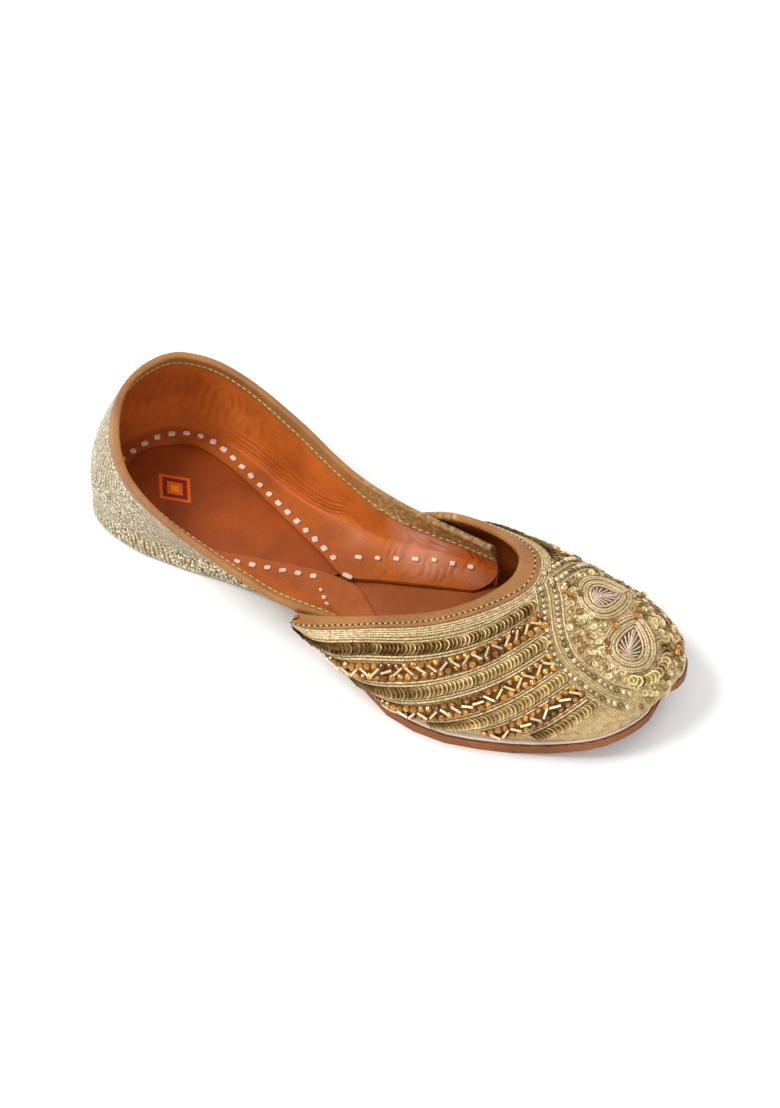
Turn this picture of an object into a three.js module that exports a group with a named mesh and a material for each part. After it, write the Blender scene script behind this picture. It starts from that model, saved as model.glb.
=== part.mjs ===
import * as THREE from 'three';

// A mojari: a flat slip-on shoe with a round toe, an open throat and a soft leather back.
// Millimetres. While it is built, x runs forward from the heel, +y is the shoe's left side
// and z = 0 is the ground. The last lines centre the finished shoe over its own box.

// ---- driving dimensions ----------------------------------------------------------------
const GAP = 0.3; // clearance between neighbouring pieces
const SOLE_THICK = 4.4;
const TOE_SPRING = 12.5; // how far the tip of the sole rises off the ground
const SPRING_START = 196; // where the forepart leaves the ground
const SPRING_POWER = 1.9;
const ARCH_LIFT = 1.0; // the sole is slightly hollow under the waist
const ARCH_START = 78;
const ARCH_END = 132;
const RAND_THICK = 1.4;
const RAND_OUTER = 0.7; // inset of the rand's outer rim from the sole's edge
const RAND_INNER = 4.4;
const RAND_BACK = 117; // the rand ends under the vamp's ears
const QUARTER_INSET = 1.1; // inset of the quarter's foot from the sole's edge
const VAMP_INSET = 2.1;
const VAMP_TOE_INSET = 0.8; // at the toe the vamp covers the rand
const VAMP_WALL = 2.2;
const QUARTER_WALL = 2.0;
const THROAT_BINDING = 7.5; // width of the leather strip round the throat
const COLLAR_BINDING = 5.5; // width of the leather strip round the collar
const INSOLE_THICK = 1.8;
const INSOLE_INSET = 5;
const PAD_THICK = 1.2;
const SHOULDER_SHARE = 1 / 3; // a wall's shoulder lies this far from its top towards its foot
const HIP_HEIGHT = 0.45; // share of a wall's height at which it swells most
const SLAB_END = 0.012; // a flat piece stops this share of its length short of its tips

// ---- short tables ------------------------------------------------------------------------
// The outsole's edge seen from above: down the right side, round the toe, up the left side.
const SOLE_EDGE = [
  { x: -5, y: 3 },
  { x: -1, y: -14 },
  { x: 10, y: -25.5 },
  { x: 30, y: -29.5 },
  { x: 58, y: -27.5 },
  { x: 85, y: -24.5 },
  { x: 108, y: -28.5 },
  { x: 132, y: -41 },
  { x: 155, y: -52.5 },
  { x: 178, y: -53.5 },
  { x: 201, y: -46.5 },
  { x: 222, y: -37.8 },
  { x: 234.5, y: -31 },
  { x: 242.5, y: -22.5 },
  { x: 246.8, y: -12.5 },
  { x: 245.6, y: -1.5 },
  { x: 250.4, y: 6.5 },
  { x: 248.3, y: 16 },
  { x: 237, y: 26 },
  { x: 214, y: 32.5 },
  { x: 180, y: 36 },
  { x: 150, y: 33 },
  { x: 125, y: 23 },
  { x: 104, y: 17.5 },
  { x: 80, y: 20 },
  { x: 58, y: 26 },
  { x: 34, y: 33 },
  { x: 12, y: 29.5 },
  { x: -1, y: 19 },
];
const SOLE_TOE_ROW = 16;

// The heel pad's edge, in the same order: round the heel and drawn in to a point at the waist.
const PAD_EDGE = [
  { x: 4.5, y: 3 },
  { x: 9, y: -10 },
  { x: 22, y: -20 },
  { x: 44, y: -22.5 },
  { x: 62, y: -20.5 },
  { x: 86, y: -14 },
  { x: 108, y: -7.5 },
  { x: 84, y: 4 },
  { x: 60, y: 13.5 },
  { x: 40, y: 20.5 },
  { x: 24, y: 22.5 },
  { x: 10, y: 15 },
];
const PAD_POINT_ROW = 6;

// Each row is one line of the wall, from its top edge (x, y, z) down to the sole.
// side: -1 is the shoe's right, 1 its left, 0 the middle of the toe or the heel
// foot: where the line meets the sole, measured along x
// inset: how far its foot is set in from the sole's edge
// lift: how far its foot stands over the sole
// fall: how far the wall has dropped by its shoulder, as a share of its height
// crown: how far the wall runs outward before it turns down
// swell: how far the wall stands out past its foot, low down
const OVER_INSOLE = GAP + INSOLE_THICK + GAP;
const ON_SOLE = { inset: QUARTER_INSET, lift: GAP, fall: 0.12 };
const WING = { lift: OVER_INSOLE, fall: 0.12 };
const ON_BOARD = { inset: QUARTER_INSET, ...WING };
const ON_RAND = { inset: VAMP_INSET, lift: GAP + RAND_THICK + GAP };
const TOE_ON_RAND = { inset: VAMP_TOE_INSET, lift: GAP + RAND_THICK + GAP };
const VAMP_ROWS = [
  { x: 121, y: 24, z: 19.8, side: 1, foot: 118, fall: 0.2, crown: 3, swell: 5, ...ON_RAND },
  { x: 137, y: 23.3, z: 31.2, side: 1, foot: 138, fall: 0.25, crown: 2, swell: 4, ...ON_RAND },
  { x: 148, y: 22, z: 36.8, side: 1, foot: 160, fall: 0.25, crown: 2, swell: 3, ...ON_RAND },
  { x: 159, y: 20, z: 40.3, side: 1, foot: 184, fall: 0.25, crown: 2, swell: 3, ...ON_RAND },
  { x: 170.5, y: 16.5, z: 43.3, side: 1, foot: 212, fall: 0.2, crown: 4, swell: 4, ...ON_RAND },
  { x: 178.5, y: 11, z: 43.9, side: 1, foot: 236, fall: 0.15, crown: 5, swell: 6, ...TOE_ON_RAND },
  { x: 180.6, y: 3, z: 42, side: 0, foot: 250, fall: 0.12, crown: 6, swell: 6, ...TOE_ON_RAND },
  { x: 177.5, y: -5, z: 39.5, side: -1, foot: 239, fall: 0.12, crown: 9, swell: 4, ...TOE_ON_RAND },
  { x: 170, y: -15, z: 37, side: -1, foot: 209, fall: 0.12, crown: 11, swell: 6, ...ON_RAND },
  { x: 159, y: -25, z: 35.3, side: -1, foot: 176, fall: 0.12, crown: 13, swell: 9, ...ON_RAND },
  { x: 145, y: -34, z: 34.4, side: -1, foot: 150, fall: 0.12, crown: 15, swell: 12, ...ON_RAND },
  { x: 128, y: -44, z: 34, side: -1, foot: 130, fall: 0.12, crown: 15, swell: 16, ...ON_RAND },
  { x: 116.5, y: -51, z: 34.5, side: -1, foot: 114, fall: 0.12, crown: 12, swell: 17, ...ON_RAND },
];
const QUARTER_ROWS = [
  { x: 163, y: -38, z: 23, side: -1, foot: 161, crown: 2, swell: 2, inset: 9, ...WING },
  { x: 146, y: -40, z: 26.5, side: -1, foot: 142, crown: 2, swell: 4, inset: 7, ...WING },
  { x: 130, y: -42, z: 29, side: -1, foot: 124, crown: 2, swell: 6, inset: 6, ...WING },
  { x: 116, y: -45, z: 31, side: -1, foot: 111, crown: 2, swell: 7, inset: 5.5, ...WING },
  { x: 103, y: -46.3, z: 32, side: -1, foot: 100, crown: 2, swell: 7, ...ON_BOARD },
  { x: 91, y: -45.5, z: 33, side: -1, foot: 90, crown: 2, swell: 6, ...ON_SOLE },
  { x: 70, y: -43.5, z: 37, side: -1, foot: 70, crown: 2, swell: 5, ...ON_SOLE },
  { x: 47.5, y: -40.5, z: 42.5, side: -1, foot: 48, crown: 2, swell: 4, ...ON_SOLE },
  { x: 26.5, y: -32, z: 48, side: -1, foot: 26, crown: 1, swell: 5, ...ON_SOLE },
  { x: 12, y: -15, z: 52.5, side: -1, foot: 5, crown: -1, swell: 8, ...ON_SOLE },
  { x: 6, y: 5, z: 55, side: 0, foot: -5, crown: -1, swell: 8, ...ON_SOLE },
  { x: 12.5, y: 24, z: 55.5, side: 1, foot: 6, crown: 0, swell: 5, ...ON_SOLE },
  { x: 27, y: 33, z: 52, side: 1, foot: 26, crown: 2, swell: 3, ...ON_SOLE },
  { x: 46, y: 34.2, z: 47, side: 1, foot: 46, crown: 2, swell: 3, ...ON_SOLE },
  { x: 70, y: 29.8, z: 41, side: 1, foot: 69, crown: 1, swell: 3, ...ON_SOLE },
  { x: 90, y: 24, z: 36.5, side: 1, foot: 88, crown: 1, swell: 3, ...ON_SOLE },
  { x: 102, y: 21.5, z: 34, side: 1, foot: 99, crown: 1, swell: 3, ...ON_BOARD },
  { x: 114, y: 20.2, z: 32, side: 1, foot: 110, crown: 1, swell: 2, inset: 5.5, ...WING },
  { x: 128, y: 19.7, z: 30.7, side: 1, foot: 125, crown: 1, swell: 2, inset: 7, ...WING },
  { x: 145, y: 19.8, z: 30, side: 1, foot: 144, crown: 1, swell: 2, inset: 11, ...WING },
  { x: 161.5, y: 20, z: 29, side: 1, foot: 163, crown: 2, swell: 4, inset: 15, ...WING },
];

// Lines along the wall and rings down it. The shells are smooth, so these stay few.
const VAMP_STEPS = { around: 52, down: 11 };
const QUARTER_STEPS = { around: 60, down: 8 };
const BINDING_DOWN = 2;
const SLAB_STEPS = { along: 44, across: 6 };
const RAND_STEPS = 56;

// ---- heights along the shoe ----------------------------------------------------------------
function smoothStep(start, end, x) {
  const t = THREE.MathUtils.clamp((x - start) / (end - start), 0, 1);
  return t * t * (3 - 2 * t);
}

function groundHeight(x) {
  const toeX = SOLE_EDGE[SOLE_TOE_ROW].x;
  const rise = Math.max(0, (x - SPRING_START) / (toeX - SPRING_START));
  const archMiddle = (ARCH_START + ARCH_END) / 2;
  const arch = smoothStep(ARCH_START, archMiddle, x) - smoothStep(archMiddle, ARCH_END, x);
  return TOE_SPRING * rise ** SPRING_POWER + ARCH_LIFT * arch;
}

function soleTop(x) {
  return groundHeight(x) + SOLE_THICK;
}

// ---- outlines seen from above ------------------------------------------------------------
// An outline runs from its first row down the right side to frontRow and back up the left.
function makeOutline(rows, frontRow) {
  const points = rows.map((row) => new THREE.Vector3(row.x, row.y, 0));
  const curve = new THREE.CatmullRomCurve3(points, true, 'centripetal');
  const front = frontRow / rows.length;
  // side -1 is the right edge, 1 the left; t runs from 0 at the back to 1 at the front.
  return (side, t, inset) => {
    const u = (side < 0 ? t * front : 1 - t * (1 - front)) % 1;
    const tangent = curve.getTangent(u);
    const outward = new THREE.Vector3(tangent.y, -tangent.x, 0).normalize();
    return { point: curve.getPoint(u).addScaledVector(outward, -inset), outward };
  };
}

const soleEdge = makeOutline(SOLE_EDGE, SOLE_TOE_ROW);
const padEdge = makeOutline(PAD_EDGE, PAD_POINT_ROW);

function soleShareAtX(side, x) {
  let low = 0;
  let high = 1;
  for (let i = 0; i < 30; i += 1) {
    const middle = (low + high) / 2;
    if (soleEdge(side, middle, 0).point.x < x) low = middle;
    else high = middle;
  }
  return (low + high) / 2;
}

// ---- closed meshes from grids of points ------------------------------------------------
function closedMesh(positions, triangles) {
  let volume = 0;
  const corner = triangles.flat().map((i) => positions[i]);
  for (let i = 0; i < corner.length; i += 3) {
    volume += corner[i].dot(new THREE.Vector3().crossVectors(corner[i + 1], corner[i + 2]));
  }
  const facing = volume > 0 ? triangles : triangles.map(([a, b, c]) => [a, c, b]);
  const geometry = new THREE.BufferGeometry().setFromPoints(positions);
  geometry.setIndex(facing.flat());
  geometry.computeVertexNormals();
  return geometry;
}

// rings[i][j]: each ring is a closed loop; the first and last rings are filled as strips.
function tubeOfRings(rings) {
  const count = rings[0].length;
  const triangles = [];
  const at = (i, j) => i * count + (j % count);
  for (let i = 0; i + 1 < rings.length; i += 1) {
    for (let j = 0; j < count; j += 1) {
      triangles.push([at(i, j), at(i + 1, j), at(i + 1, j + 1)]);
      triangles.push([at(i, j), at(i + 1, j + 1), at(i, j + 1)]);
    }
  }
  const half = count / 2;
  for (const [ring, flip] of [[0, false], [rings.length - 1, true]]) {
    for (let j = 0; j + 1 < half; j += 1) {
      const quad = [at(ring, j), at(ring, j + 1), at(ring, count - 2 - j), at(ring, count - 1 - j)];
      const [a, b, c, d] = flip ? quad.reverse() : quad;
      triangles.push([a, b, c], [a, c, d]);
    }
  }
  return closedMesh(rings.flat(), triangles);
}

// ---- the upper's wall --------------------------------------------------------------------
function catmullRom(a, b, c, d, t) {
  const spread = 3 * (b - c) + d - a;
  return b + 0.5 * t * (c - a + t * (2 * a - 5 * b + 4 * c - d + t * spread));
}

function wallRow(rows, v) {
  const place = v * (rows.length - 1);
  const index = Math.min(Math.floor(place), rows.length - 2);
  const t = place - index;
  const row = (k) => rows[THREE.MathUtils.clamp(index + k, 0, rows.length - 1)];
  const feet = [-1, 0, 1, 2].map((k) => {
    const { side, foot, inset } = row(k);
    const share = side === 0 ? Number(foot > 0) : soleShareAtX(side, foot);
    return soleEdge(side, share, inset);
  });
  const mix = (read) => catmullRom(...[-1, 0, 1, 2].map((k, i) => read(row(k), feet[i])), t);
  const outward = new THREE.Vector3(
    mix((r, f) => f.outward.x),
    mix((r, f) => f.outward.y),
    0,
  ).normalize();
  const foot = new THREE.Vector3(mix((r, f) => f.point.x), mix((r, f) => f.point.y), 0);
  return {
    top: new THREE.Vector3(mix((r) => r.x), mix((r) => r.y), mix((r) => r.z)),
    foot: foot.setZ(soleTop(foot.x) + mix((r) => r.lift)),
    outward,
    fall: mix((r) => r.fall),
    crown: mix((r) => r.crown),
    swell: mix((r) => r.swell),
  };
}

function wallPoint(line, u) {
  const { top, foot, outward, fall, crown, swell } = line;
  const height = top.z - foot.z;
  const shoulder = top.clone().lerp(foot, SHOULDER_SHARE).setZ(top.z - fall * height);
  shoulder.addScaledVector(outward, crown);
  const hip = foot.clone().addScaledVector(outward, swell).setZ(foot.z + HIP_HEIGHT * height);
  return new THREE.CubicBezierCurve3(top, shoulder, hip, foot).getPoint(u);
}

// The share of the wall, from its top edge down, that a strip of this width covers.
function shareOfWidth(line, width) {
  const steps = 60;
  let length = 0;
  let last = wallPoint(line, 0);
  for (let i = 1; i <= steps; i += 1) {
    const next = wallPoint(line, i / steps);
    const step = next.distanceTo(last);
    if (length + step >= width) return (i - 1 + (width - length) / step) / steps;
    length += step;
    last = next;
  }
  return 1;
}

// A shell from distance `from` to distance `to` below the top edge (null: down to the foot).
function wallShell(rows, thickness, steps, from, to) {
  const small = 0.004; // a short step for directions along and down the wall
  const rings = [];
  for (let i = 0; i <= steps.around; i += 1) {
    const v = i / steps.around;
    const line = wallRow(rows, v);
    const before = wallRow(rows, Math.max(0, v - small));
    const after = wallRow(rows, Math.min(1, v + small));
    const first = from > 0 ? shareOfWidth(line, from) : 0;
    const last = to === null ? 1 : shareOfWidth(line, to);
    const outer = [];
    const inner = [];
    for (let j = 0; j <= steps.down; j += 1) {
      const u = first + ((last - first) * j) / steps.down;
      const point = wallPoint(line, u);
      const along = wallPoint(after, u).sub(wallPoint(before, u));
      const down = wallPoint(line, Math.min(1, u + small));
      down.sub(wallPoint(line, Math.max(0, u - small)));
      const normal = new THREE.Vector3().crossVectors(along, down).normalize();
      const inside = point.clone().addScaledVector(normal, -thickness);
      if (to === null) inside.z = Math.max(inside.z, line.foot.z);
      outer.push(point);
      inner.push(inside);
    }
    rings.push([...outer, ...inner.reverse()]);
  }
  return tubeOfRings(rings);
}

// ---- flat pieces that follow the sole's heights -----------------------------------------
// edge(side, t) gives the plan; bottom and top are heights as functions of x.
function slab(edge, bottom, top) {
  const rings = [];
  const { along, across } = SLAB_STEPS;
  for (let i = 0; i <= along; i += 1) {
    const even = 0.5 - 0.5 * Math.cos((Math.PI * i) / along);
    const t = THREE.MathUtils.lerp(SLAB_END, 1 - SLAB_END, even);
    const right = edge(-1, t);
    const left = edge(1, t);
    const upper = [];
    const lower = [];
    for (let j = 0; j <= across; j += 1) {
      const point = right.clone().lerp(left, j / across);
      upper.push(point.clone().setZ(top(point.x)));
      lower.push(point.clone().setZ(bottom(point.x)));
    }
    rings.push([...upper, ...lower.reverse()]);
  }
  return tubeOfRings(rings);
}

function outsoleGeometry() {
  return slab((side, t) => soleEdge(side, t, 0).point, groundHeight, soleTop);
}

function insoleGeometry() {
  const bottom = (x) => soleTop(x) + GAP;
  const edge = (side, t) => soleEdge(side, t, INSOLE_INSET).point;
  return slab(edge, bottom, (x) => bottom(x) + INSOLE_THICK);
}

function heelPadGeometry() {
  const bottom = (x) => soleTop(x) + OVER_INSOLE;
  return slab((side, t) => padEdge(side, t, 0).point, bottom, (x) => bottom(x) + PAD_THICK);
}

// A thin strip round the forepart, between the vamp's foot and the outsole.
function randGeometry() {
  const rings = [];
  for (let i = 0; i <= RAND_STEPS; i += 1) {
    const place = (2 * i) / RAND_STEPS - 1;
    const side = place < 0 ? -1 : 1;
    const t = 1 - Math.abs(place) * (1 - soleShareAtX(side, RAND_BACK));
    const outer = soleEdge(side, t, RAND_OUTER).point;
    const inner = soleEdge(side, t, RAND_INNER).point;
    const at = (point, rise) => point.clone().setZ(soleTop(point.x) + GAP + rise);
    rings.push([at(outer, RAND_THICK), at(inner, RAND_THICK), at(inner, 0), at(outer, 0)]);
  }
  return tubeOfRings(rings);
}

// ---- finishes --------------------------------------------------------------------------
const finishes = {
  soleLeather: new THREE.MeshStandardMaterial({ color: 0xa5602f, roughness: 0.65, metalness: 0 }),
  randLeather: new THREE.MeshStandardMaterial({ color: 0xe3cdb4, roughness: 0.7, metalness: 0 }),
  liningLeather: new THREE.MeshStandardMaterial({ color: 0xb8622a, roughness: 0.5, metalness: 0 }),
  bindingLeather: new THREE.MeshStandardMaterial({ color: 0xbd8450, roughness: 0.55, metalness: 0 }),
  goldCloth: new THREE.MeshStandardMaterial({ color: 0xc9ad6a, roughness: 0.45, metalness: 0.4 }),
  silverCloth: new THREE.MeshStandardMaterial({ color: 0xcfc8a8, roughness: 0.4, metalness: 0.45 }),
};

function piece(name, geometry, finish) {
  const mesh = new THREE.Mesh(geometry, finish);
  mesh.name = name;
  return mesh;
}

// ---- the shoe --------------------------------------------------------------------------
const throatStrip = { around: VAMP_STEPS.around, down: BINDING_DOWN };
const collarStrip = { around: QUARTER_STEPS.around, down: BINDING_DOWN };
const quarterTop = COLLAR_BINDING + GAP;
const vampTop = THROAT_BINDING + GAP;
const quarter = wallShell(QUARTER_ROWS, QUARTER_WALL, QUARTER_STEPS, quarterTop, null);
const collarBinding = wallShell(QUARTER_ROWS, QUARTER_WALL, collarStrip, 0, COLLAR_BINDING);
const vamp = wallShell(VAMP_ROWS, VAMP_WALL, VAMP_STEPS, vampTop, null);
const throatBinding = wallShell(VAMP_ROWS, VAMP_WALL, throatStrip, 0, THROAT_BINDING);
const pieces = [
  piece('outsole', outsoleGeometry(), finishes.soleLeather),
  piece('rand', randGeometry(), finishes.randLeather),
  piece('insole', insoleGeometry(), finishes.liningLeather),
  piece('heel_pad', heelPadGeometry(), finishes.liningLeather),
  piece('quarter', quarter, finishes.silverCloth),
  piece('collar_binding', collarBinding, finishes.bindingLeather),
  piece('vamp', vamp, finishes.goldCloth),
  piece('throat_binding', throatBinding, finishes.bindingLeather),
];

const lastFrame = new THREE.Group();
lastFrame.add(...pieces);
const box = new THREE.Box3().setFromObject(lastFrame);
const middle = box.getCenter(new THREE.Vector3());
lastFrame.position.set(-middle.x, -middle.y, -box.min.z);

const shoe = new THREE.Group();
shoe.add(lastFrame);
export default shoe;
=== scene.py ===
import math
import random
from functools import lru_cache

import bpy
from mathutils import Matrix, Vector, noise
from mathutils.bvhtree import BVHTree


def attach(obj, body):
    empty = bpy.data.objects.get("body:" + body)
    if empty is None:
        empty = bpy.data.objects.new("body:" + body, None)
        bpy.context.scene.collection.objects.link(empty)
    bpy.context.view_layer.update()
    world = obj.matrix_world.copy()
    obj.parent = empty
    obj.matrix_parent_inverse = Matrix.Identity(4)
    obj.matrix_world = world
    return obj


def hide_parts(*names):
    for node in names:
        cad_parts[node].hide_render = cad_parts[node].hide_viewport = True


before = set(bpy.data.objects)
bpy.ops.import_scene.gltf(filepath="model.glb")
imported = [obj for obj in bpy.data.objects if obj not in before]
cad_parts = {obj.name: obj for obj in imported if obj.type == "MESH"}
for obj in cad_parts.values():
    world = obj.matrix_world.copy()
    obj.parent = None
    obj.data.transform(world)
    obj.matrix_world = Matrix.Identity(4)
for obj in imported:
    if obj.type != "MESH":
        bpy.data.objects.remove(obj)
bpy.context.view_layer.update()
bpy.ops.object.select_all(action="DESELECT")

# ---- sizes, in the pattern's millimetres ---------------------------------------------------
# x runs forward from the heel, +y is the shoe's left side and z = 0 is the ground. metres()
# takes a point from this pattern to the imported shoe's frame, which is centred on its box.
MM = 0.001
PATTERN_MIDDLE = Vector((122.184, -9.773, 0))
SEED = 11

SOLE_THICK = 4.4
TOE_SPRING = 12.5
SPRING_START = 196
SPRING_POWER = 1.9
ARCH_LIFT = 1.0
ARCH_START = 78
ARCH_END = 132
ON_SOLE = 0.3  # how far each piece's foot stands over the outsole's top
OVER_RAND = 2.0
OVER_INSOLE = 2.4
INSOLE_TOP = 2.1
PAD_TOP = 3.6
VAMP_WALL = 2.2
QUARTER_WALL = 2.0
SKIN = 0.9  # cloth and lining are each this thick


def metres(point):
    return (Vector(point) - PATTERN_MIDDLE) * MM


# ---- the camera ------------------------------------------------------------------------------
CAMERA_TURN = math.radians(27.3)
CAMERA_RISE = math.radians(50)
CAMERA_REACH = 1300
CAMERA_ANCHOR = Vector((132, 45.2, 20))
CAMERA_AIM = Vector((125, 3.8, 19.5))
CAMERA_LENS = 106.4


def place_camera():
    back = Vector((
        math.sin(CAMERA_TURN) * math.cos(CAMERA_RISE),
        -math.cos(CAMERA_TURN) * math.cos(CAMERA_RISE),
        math.sin(CAMERA_RISE),
    ))
    data = bpy.data.cameras.new("camera")
    data.lens = CAMERA_LENS
    data.clip_end = 20
    camera = bpy.data.objects.new("camera", data)
    bpy.context.scene.collection.objects.link(camera)
    camera.location = metres(CAMERA_ANCHOR + back * CAMERA_REACH)
    sight = metres(CAMERA_AIM) - camera.location
    camera.rotation_euler = sight.to_track_quat("-Z", "Y").to_euler()
    bpy.context.scene.camera = camera


place_camera()

# ---- the upper's pattern -------------------------------------------------------------------
# The outsole's edge from above: x, y, down the right side, round the toe and up the left.
SOLE_EDGE = [
    (-5, 3), (-1, -14), (10, -25.5), (30, -29.5), (58, -27.5), (85, -24.5), (108, -28.5),
    (132, -41), (155, -52.5), (178, -53.5), (201, -46.5), (222, -37.8), (234.5, -31),
    (242.5, -22.5), (246.8, -12.5), (245.6, -1.5), (250.4, 6.5), (248.3, 16), (237, 26),
    (214, 32.5), (180, 36), (150, 33), (125, 23), (104, 17.5), (80, 20), (58, 26), (34, 33),
    (12, 29.5), (-1, 19),
]
SOLE_TOE_ROW = 16  # the row at the tip of the toe

# One row for each line of the wall, from its top edge down to the sole:
# x, y, z of the top edge; side (-1 right, 0 middle, 1 left); where the foot meets the sole in
# x; the foot's inset from the sole's edge; how much of the height the line falls at its shoulder;
# how far the shoulder (crown) and the hip (swell) stand outward, as in the solids; and how far
# the foot stands over the outsole.
VAMP_ROWS = [
    (121, 24, 19.8, 1, 118, 2.1, 0.2, 3, 5, OVER_RAND),
    (137, 23.3, 31.2, 1, 138, 2.1, 0.25, 2, 4, OVER_RAND),
    (148, 22, 36.8, 1, 160, 2.1, 0.25, 2, 3, OVER_RAND),
    (159, 20, 40.3, 1, 184, 2.1, 0.25, 2, 3, OVER_RAND),
    (170.5, 16.5, 43.3, 1, 212, 2.1, 0.2, 4, 4, OVER_RAND),
    (178.5, 11, 43.9, 1, 236, 0.8, 0.15, 5, 6, OVER_RAND),
    (180.6, 3, 42, 0, 250, 0.8, 0.12, 6, 6, OVER_RAND),
    (177.5, -5, 39.5, -1, 239, 0.8, 0.12, 9, 4, OVER_RAND),
    (170, -15, 37, -1, 209, 2.1, 0.12, 11, 6, OVER_RAND),
    (159, -25, 35.3, -1, 176, 2.1, 0.12, 13, 9, OVER_RAND),
    (145, -34, 34.4, -1, 150, 2.1, 0.12, 15, 12, OVER_RAND),
    (128, -44, 34, -1, 130, 2.1, 0.12, 15, 16, OVER_RAND),
    (116.5, -51, 34.5, -1, 114, 2.1, 0.12, 12, 17, OVER_RAND),
]
QUARTER_ROWS = [
    (163, -38, 23, -1, 161, 9, 0.12, 2, 2, OVER_INSOLE),
    (146, -40, 26.5, -1, 142, 7, 0.12, 2, 4, OVER_INSOLE),
    (130, -42, 29, -1, 124, 6, 0.12, 2, 6, OVER_INSOLE),
    (116, -45, 31, -1, 111, 5.5, 0.12, 2, 7, OVER_INSOLE),
    (103, -46.3, 32, -1, 100, 1.1, 0.12, 2, 7, OVER_INSOLE),
    (91, -45.5, 33, -1, 90, 1.1, 0.12, 2, 6, ON_SOLE),
    (70, -43.5, 37, -1, 70, 1.1, 0.12, 2, 5, ON_SOLE),
    (47.5, -40.5, 42.5, -1, 48, 1.1, 0.12, 2, 4, ON_SOLE),
    (26.5, -32, 48, -1, 26, 1.1, 0.12, 1, 5, ON_SOLE),
    (12, -15, 52.5, -1, 5, 1.1, 0.12, -1, 8, ON_SOLE),
    (6, 5, 55, 0, -5, 1.1, 0.12, -1, 8, ON_SOLE),
    (12.5, 24, 55.5, 1, 6, 1.1, 0.12, 0, 5, ON_SOLE),
    (27, 33, 52, 1, 26, 1.1, 0.12, 2, 3, ON_SOLE),
    (46, 34.2, 47, 1, 46, 1.1, 0.12, 2, 3, ON_SOLE),
    (70, 29.8, 41, 1, 69, 1.1, 0.12, 1, 3, ON_SOLE),
    (90, 24, 36.5, 1, 88, 1.1, 0.12, 1, 3, ON_SOLE),
    (102, 21.5, 34, 1, 99, 1.1, 0.12, 1, 3, OVER_INSOLE),
    (114, 20.2, 32, 1, 110, 5.5, 0.12, 1, 2, OVER_INSOLE),
    (128, 19.7, 30.7, 1, 125, 7, 0.12, 1, 2, OVER_INSOLE),
    (145, 19.8, 30, 1, 144, 11, 0.12, 1, 2, OVER_INSOLE),
    (161.5, 20, 29, 1, 163, 15, 0.12, 2, 4, OVER_INSOLE),
]


def clamp(value, low, high):
    return max(low, min(high, value))


def smooth_step(start, end, value):
    t = clamp((value - start) / (end - start), 0, 1)
    return t * t * (3 - 2 * t)


def between(stretch, value):
    """1 within a stretch, fading to 0 at its ends: it begins, is full, fades and ends here."""
    begins, full, fades, ends = stretch
    return smooth_step(begins, full, value) * (1 - smooth_step(fades, ends, value))


def hump(value, middle, width):
    """A soft bump of height 1."""
    return math.exp(-((value - middle) / width) ** 2)


def ground_height(x):
    rise = max(0, (x - SPRING_START) / (SOLE_EDGE[SOLE_TOE_ROW][0] - SPRING_START))
    middle = (ARCH_START + ARCH_END) / 2
    arch = smooth_step(ARCH_START, middle, x) - smooth_step(middle, ARCH_END, x)
    return TOE_SPRING * rise ** SPRING_POWER + ARCH_LIFT * arch


def sole_top(x):
    return ground_height(x) + SOLE_THICK


def sole_curve(u):
    """A centripetal spline round the outsole's edge."""
    count = len(SOLE_EDGE)
    place = (u % 1) * count
    index = int(place)
    t = place - index
    a, b, c, d = (Vector(SOLE_EDGE[(index + k) % count]) for k in (-1, 0, 1, 2))
    ab, bc, cd = ((q - p).length ** 0.5 for p, q in ((a, b), (b, c), (c, d)))
    start = ((b - a) / ab - (c - a) / (ab + bc) + (c - b) / bc) * bc
    end = ((c - b) / bc - (d - b) / (bc + cd) + (d - c) / cd) * bc
    square = 3 * (c - b) - 2 * start - end
    cube = 2 * (b - c) + start + end
    return b + t * (start + t * (square + t * cube))


def sole_edge(side, share, inset):
    """side -1 is the right edge, 1 the left; share runs from 0 at the back to 1 at the toe."""
    front = SOLE_TOE_ROW / len(SOLE_EDGE)
    u = share * front if side < 0 else 1 - share * (1 - front)
    step = 0.0001
    tangent = sole_curve(u + step) - sole_curve(u - step)
    outward = Vector((tangent.y, -tangent.x)).normalized()
    return sole_curve(u) - outward * inset, outward


@lru_cache(maxsize=None)
def sole_share_at(side, x):
    low, high = 0.0, 1.0
    for _ in range(30):
        middle = (low + high) / 2
        if sole_edge(side, middle, 0)[0].x < x:
            low = middle
        else:
            high = middle
    return (low + high) / 2


@lru_cache(maxsize=None)
def foot_of(row):
    side, foot, inset = row[3], row[4], row[5]
    share = float(foot > 0) if side == 0 else sole_share_at(side, foot)
    return sole_edge(side, share, inset)


def catmull_rom(a, b, c, d, t):
    return b + 0.5 * t * (c - a + t * (2 * a - 5 * b + 4 * c - d + t * (3 * (b - c) + d - a)))


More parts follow.
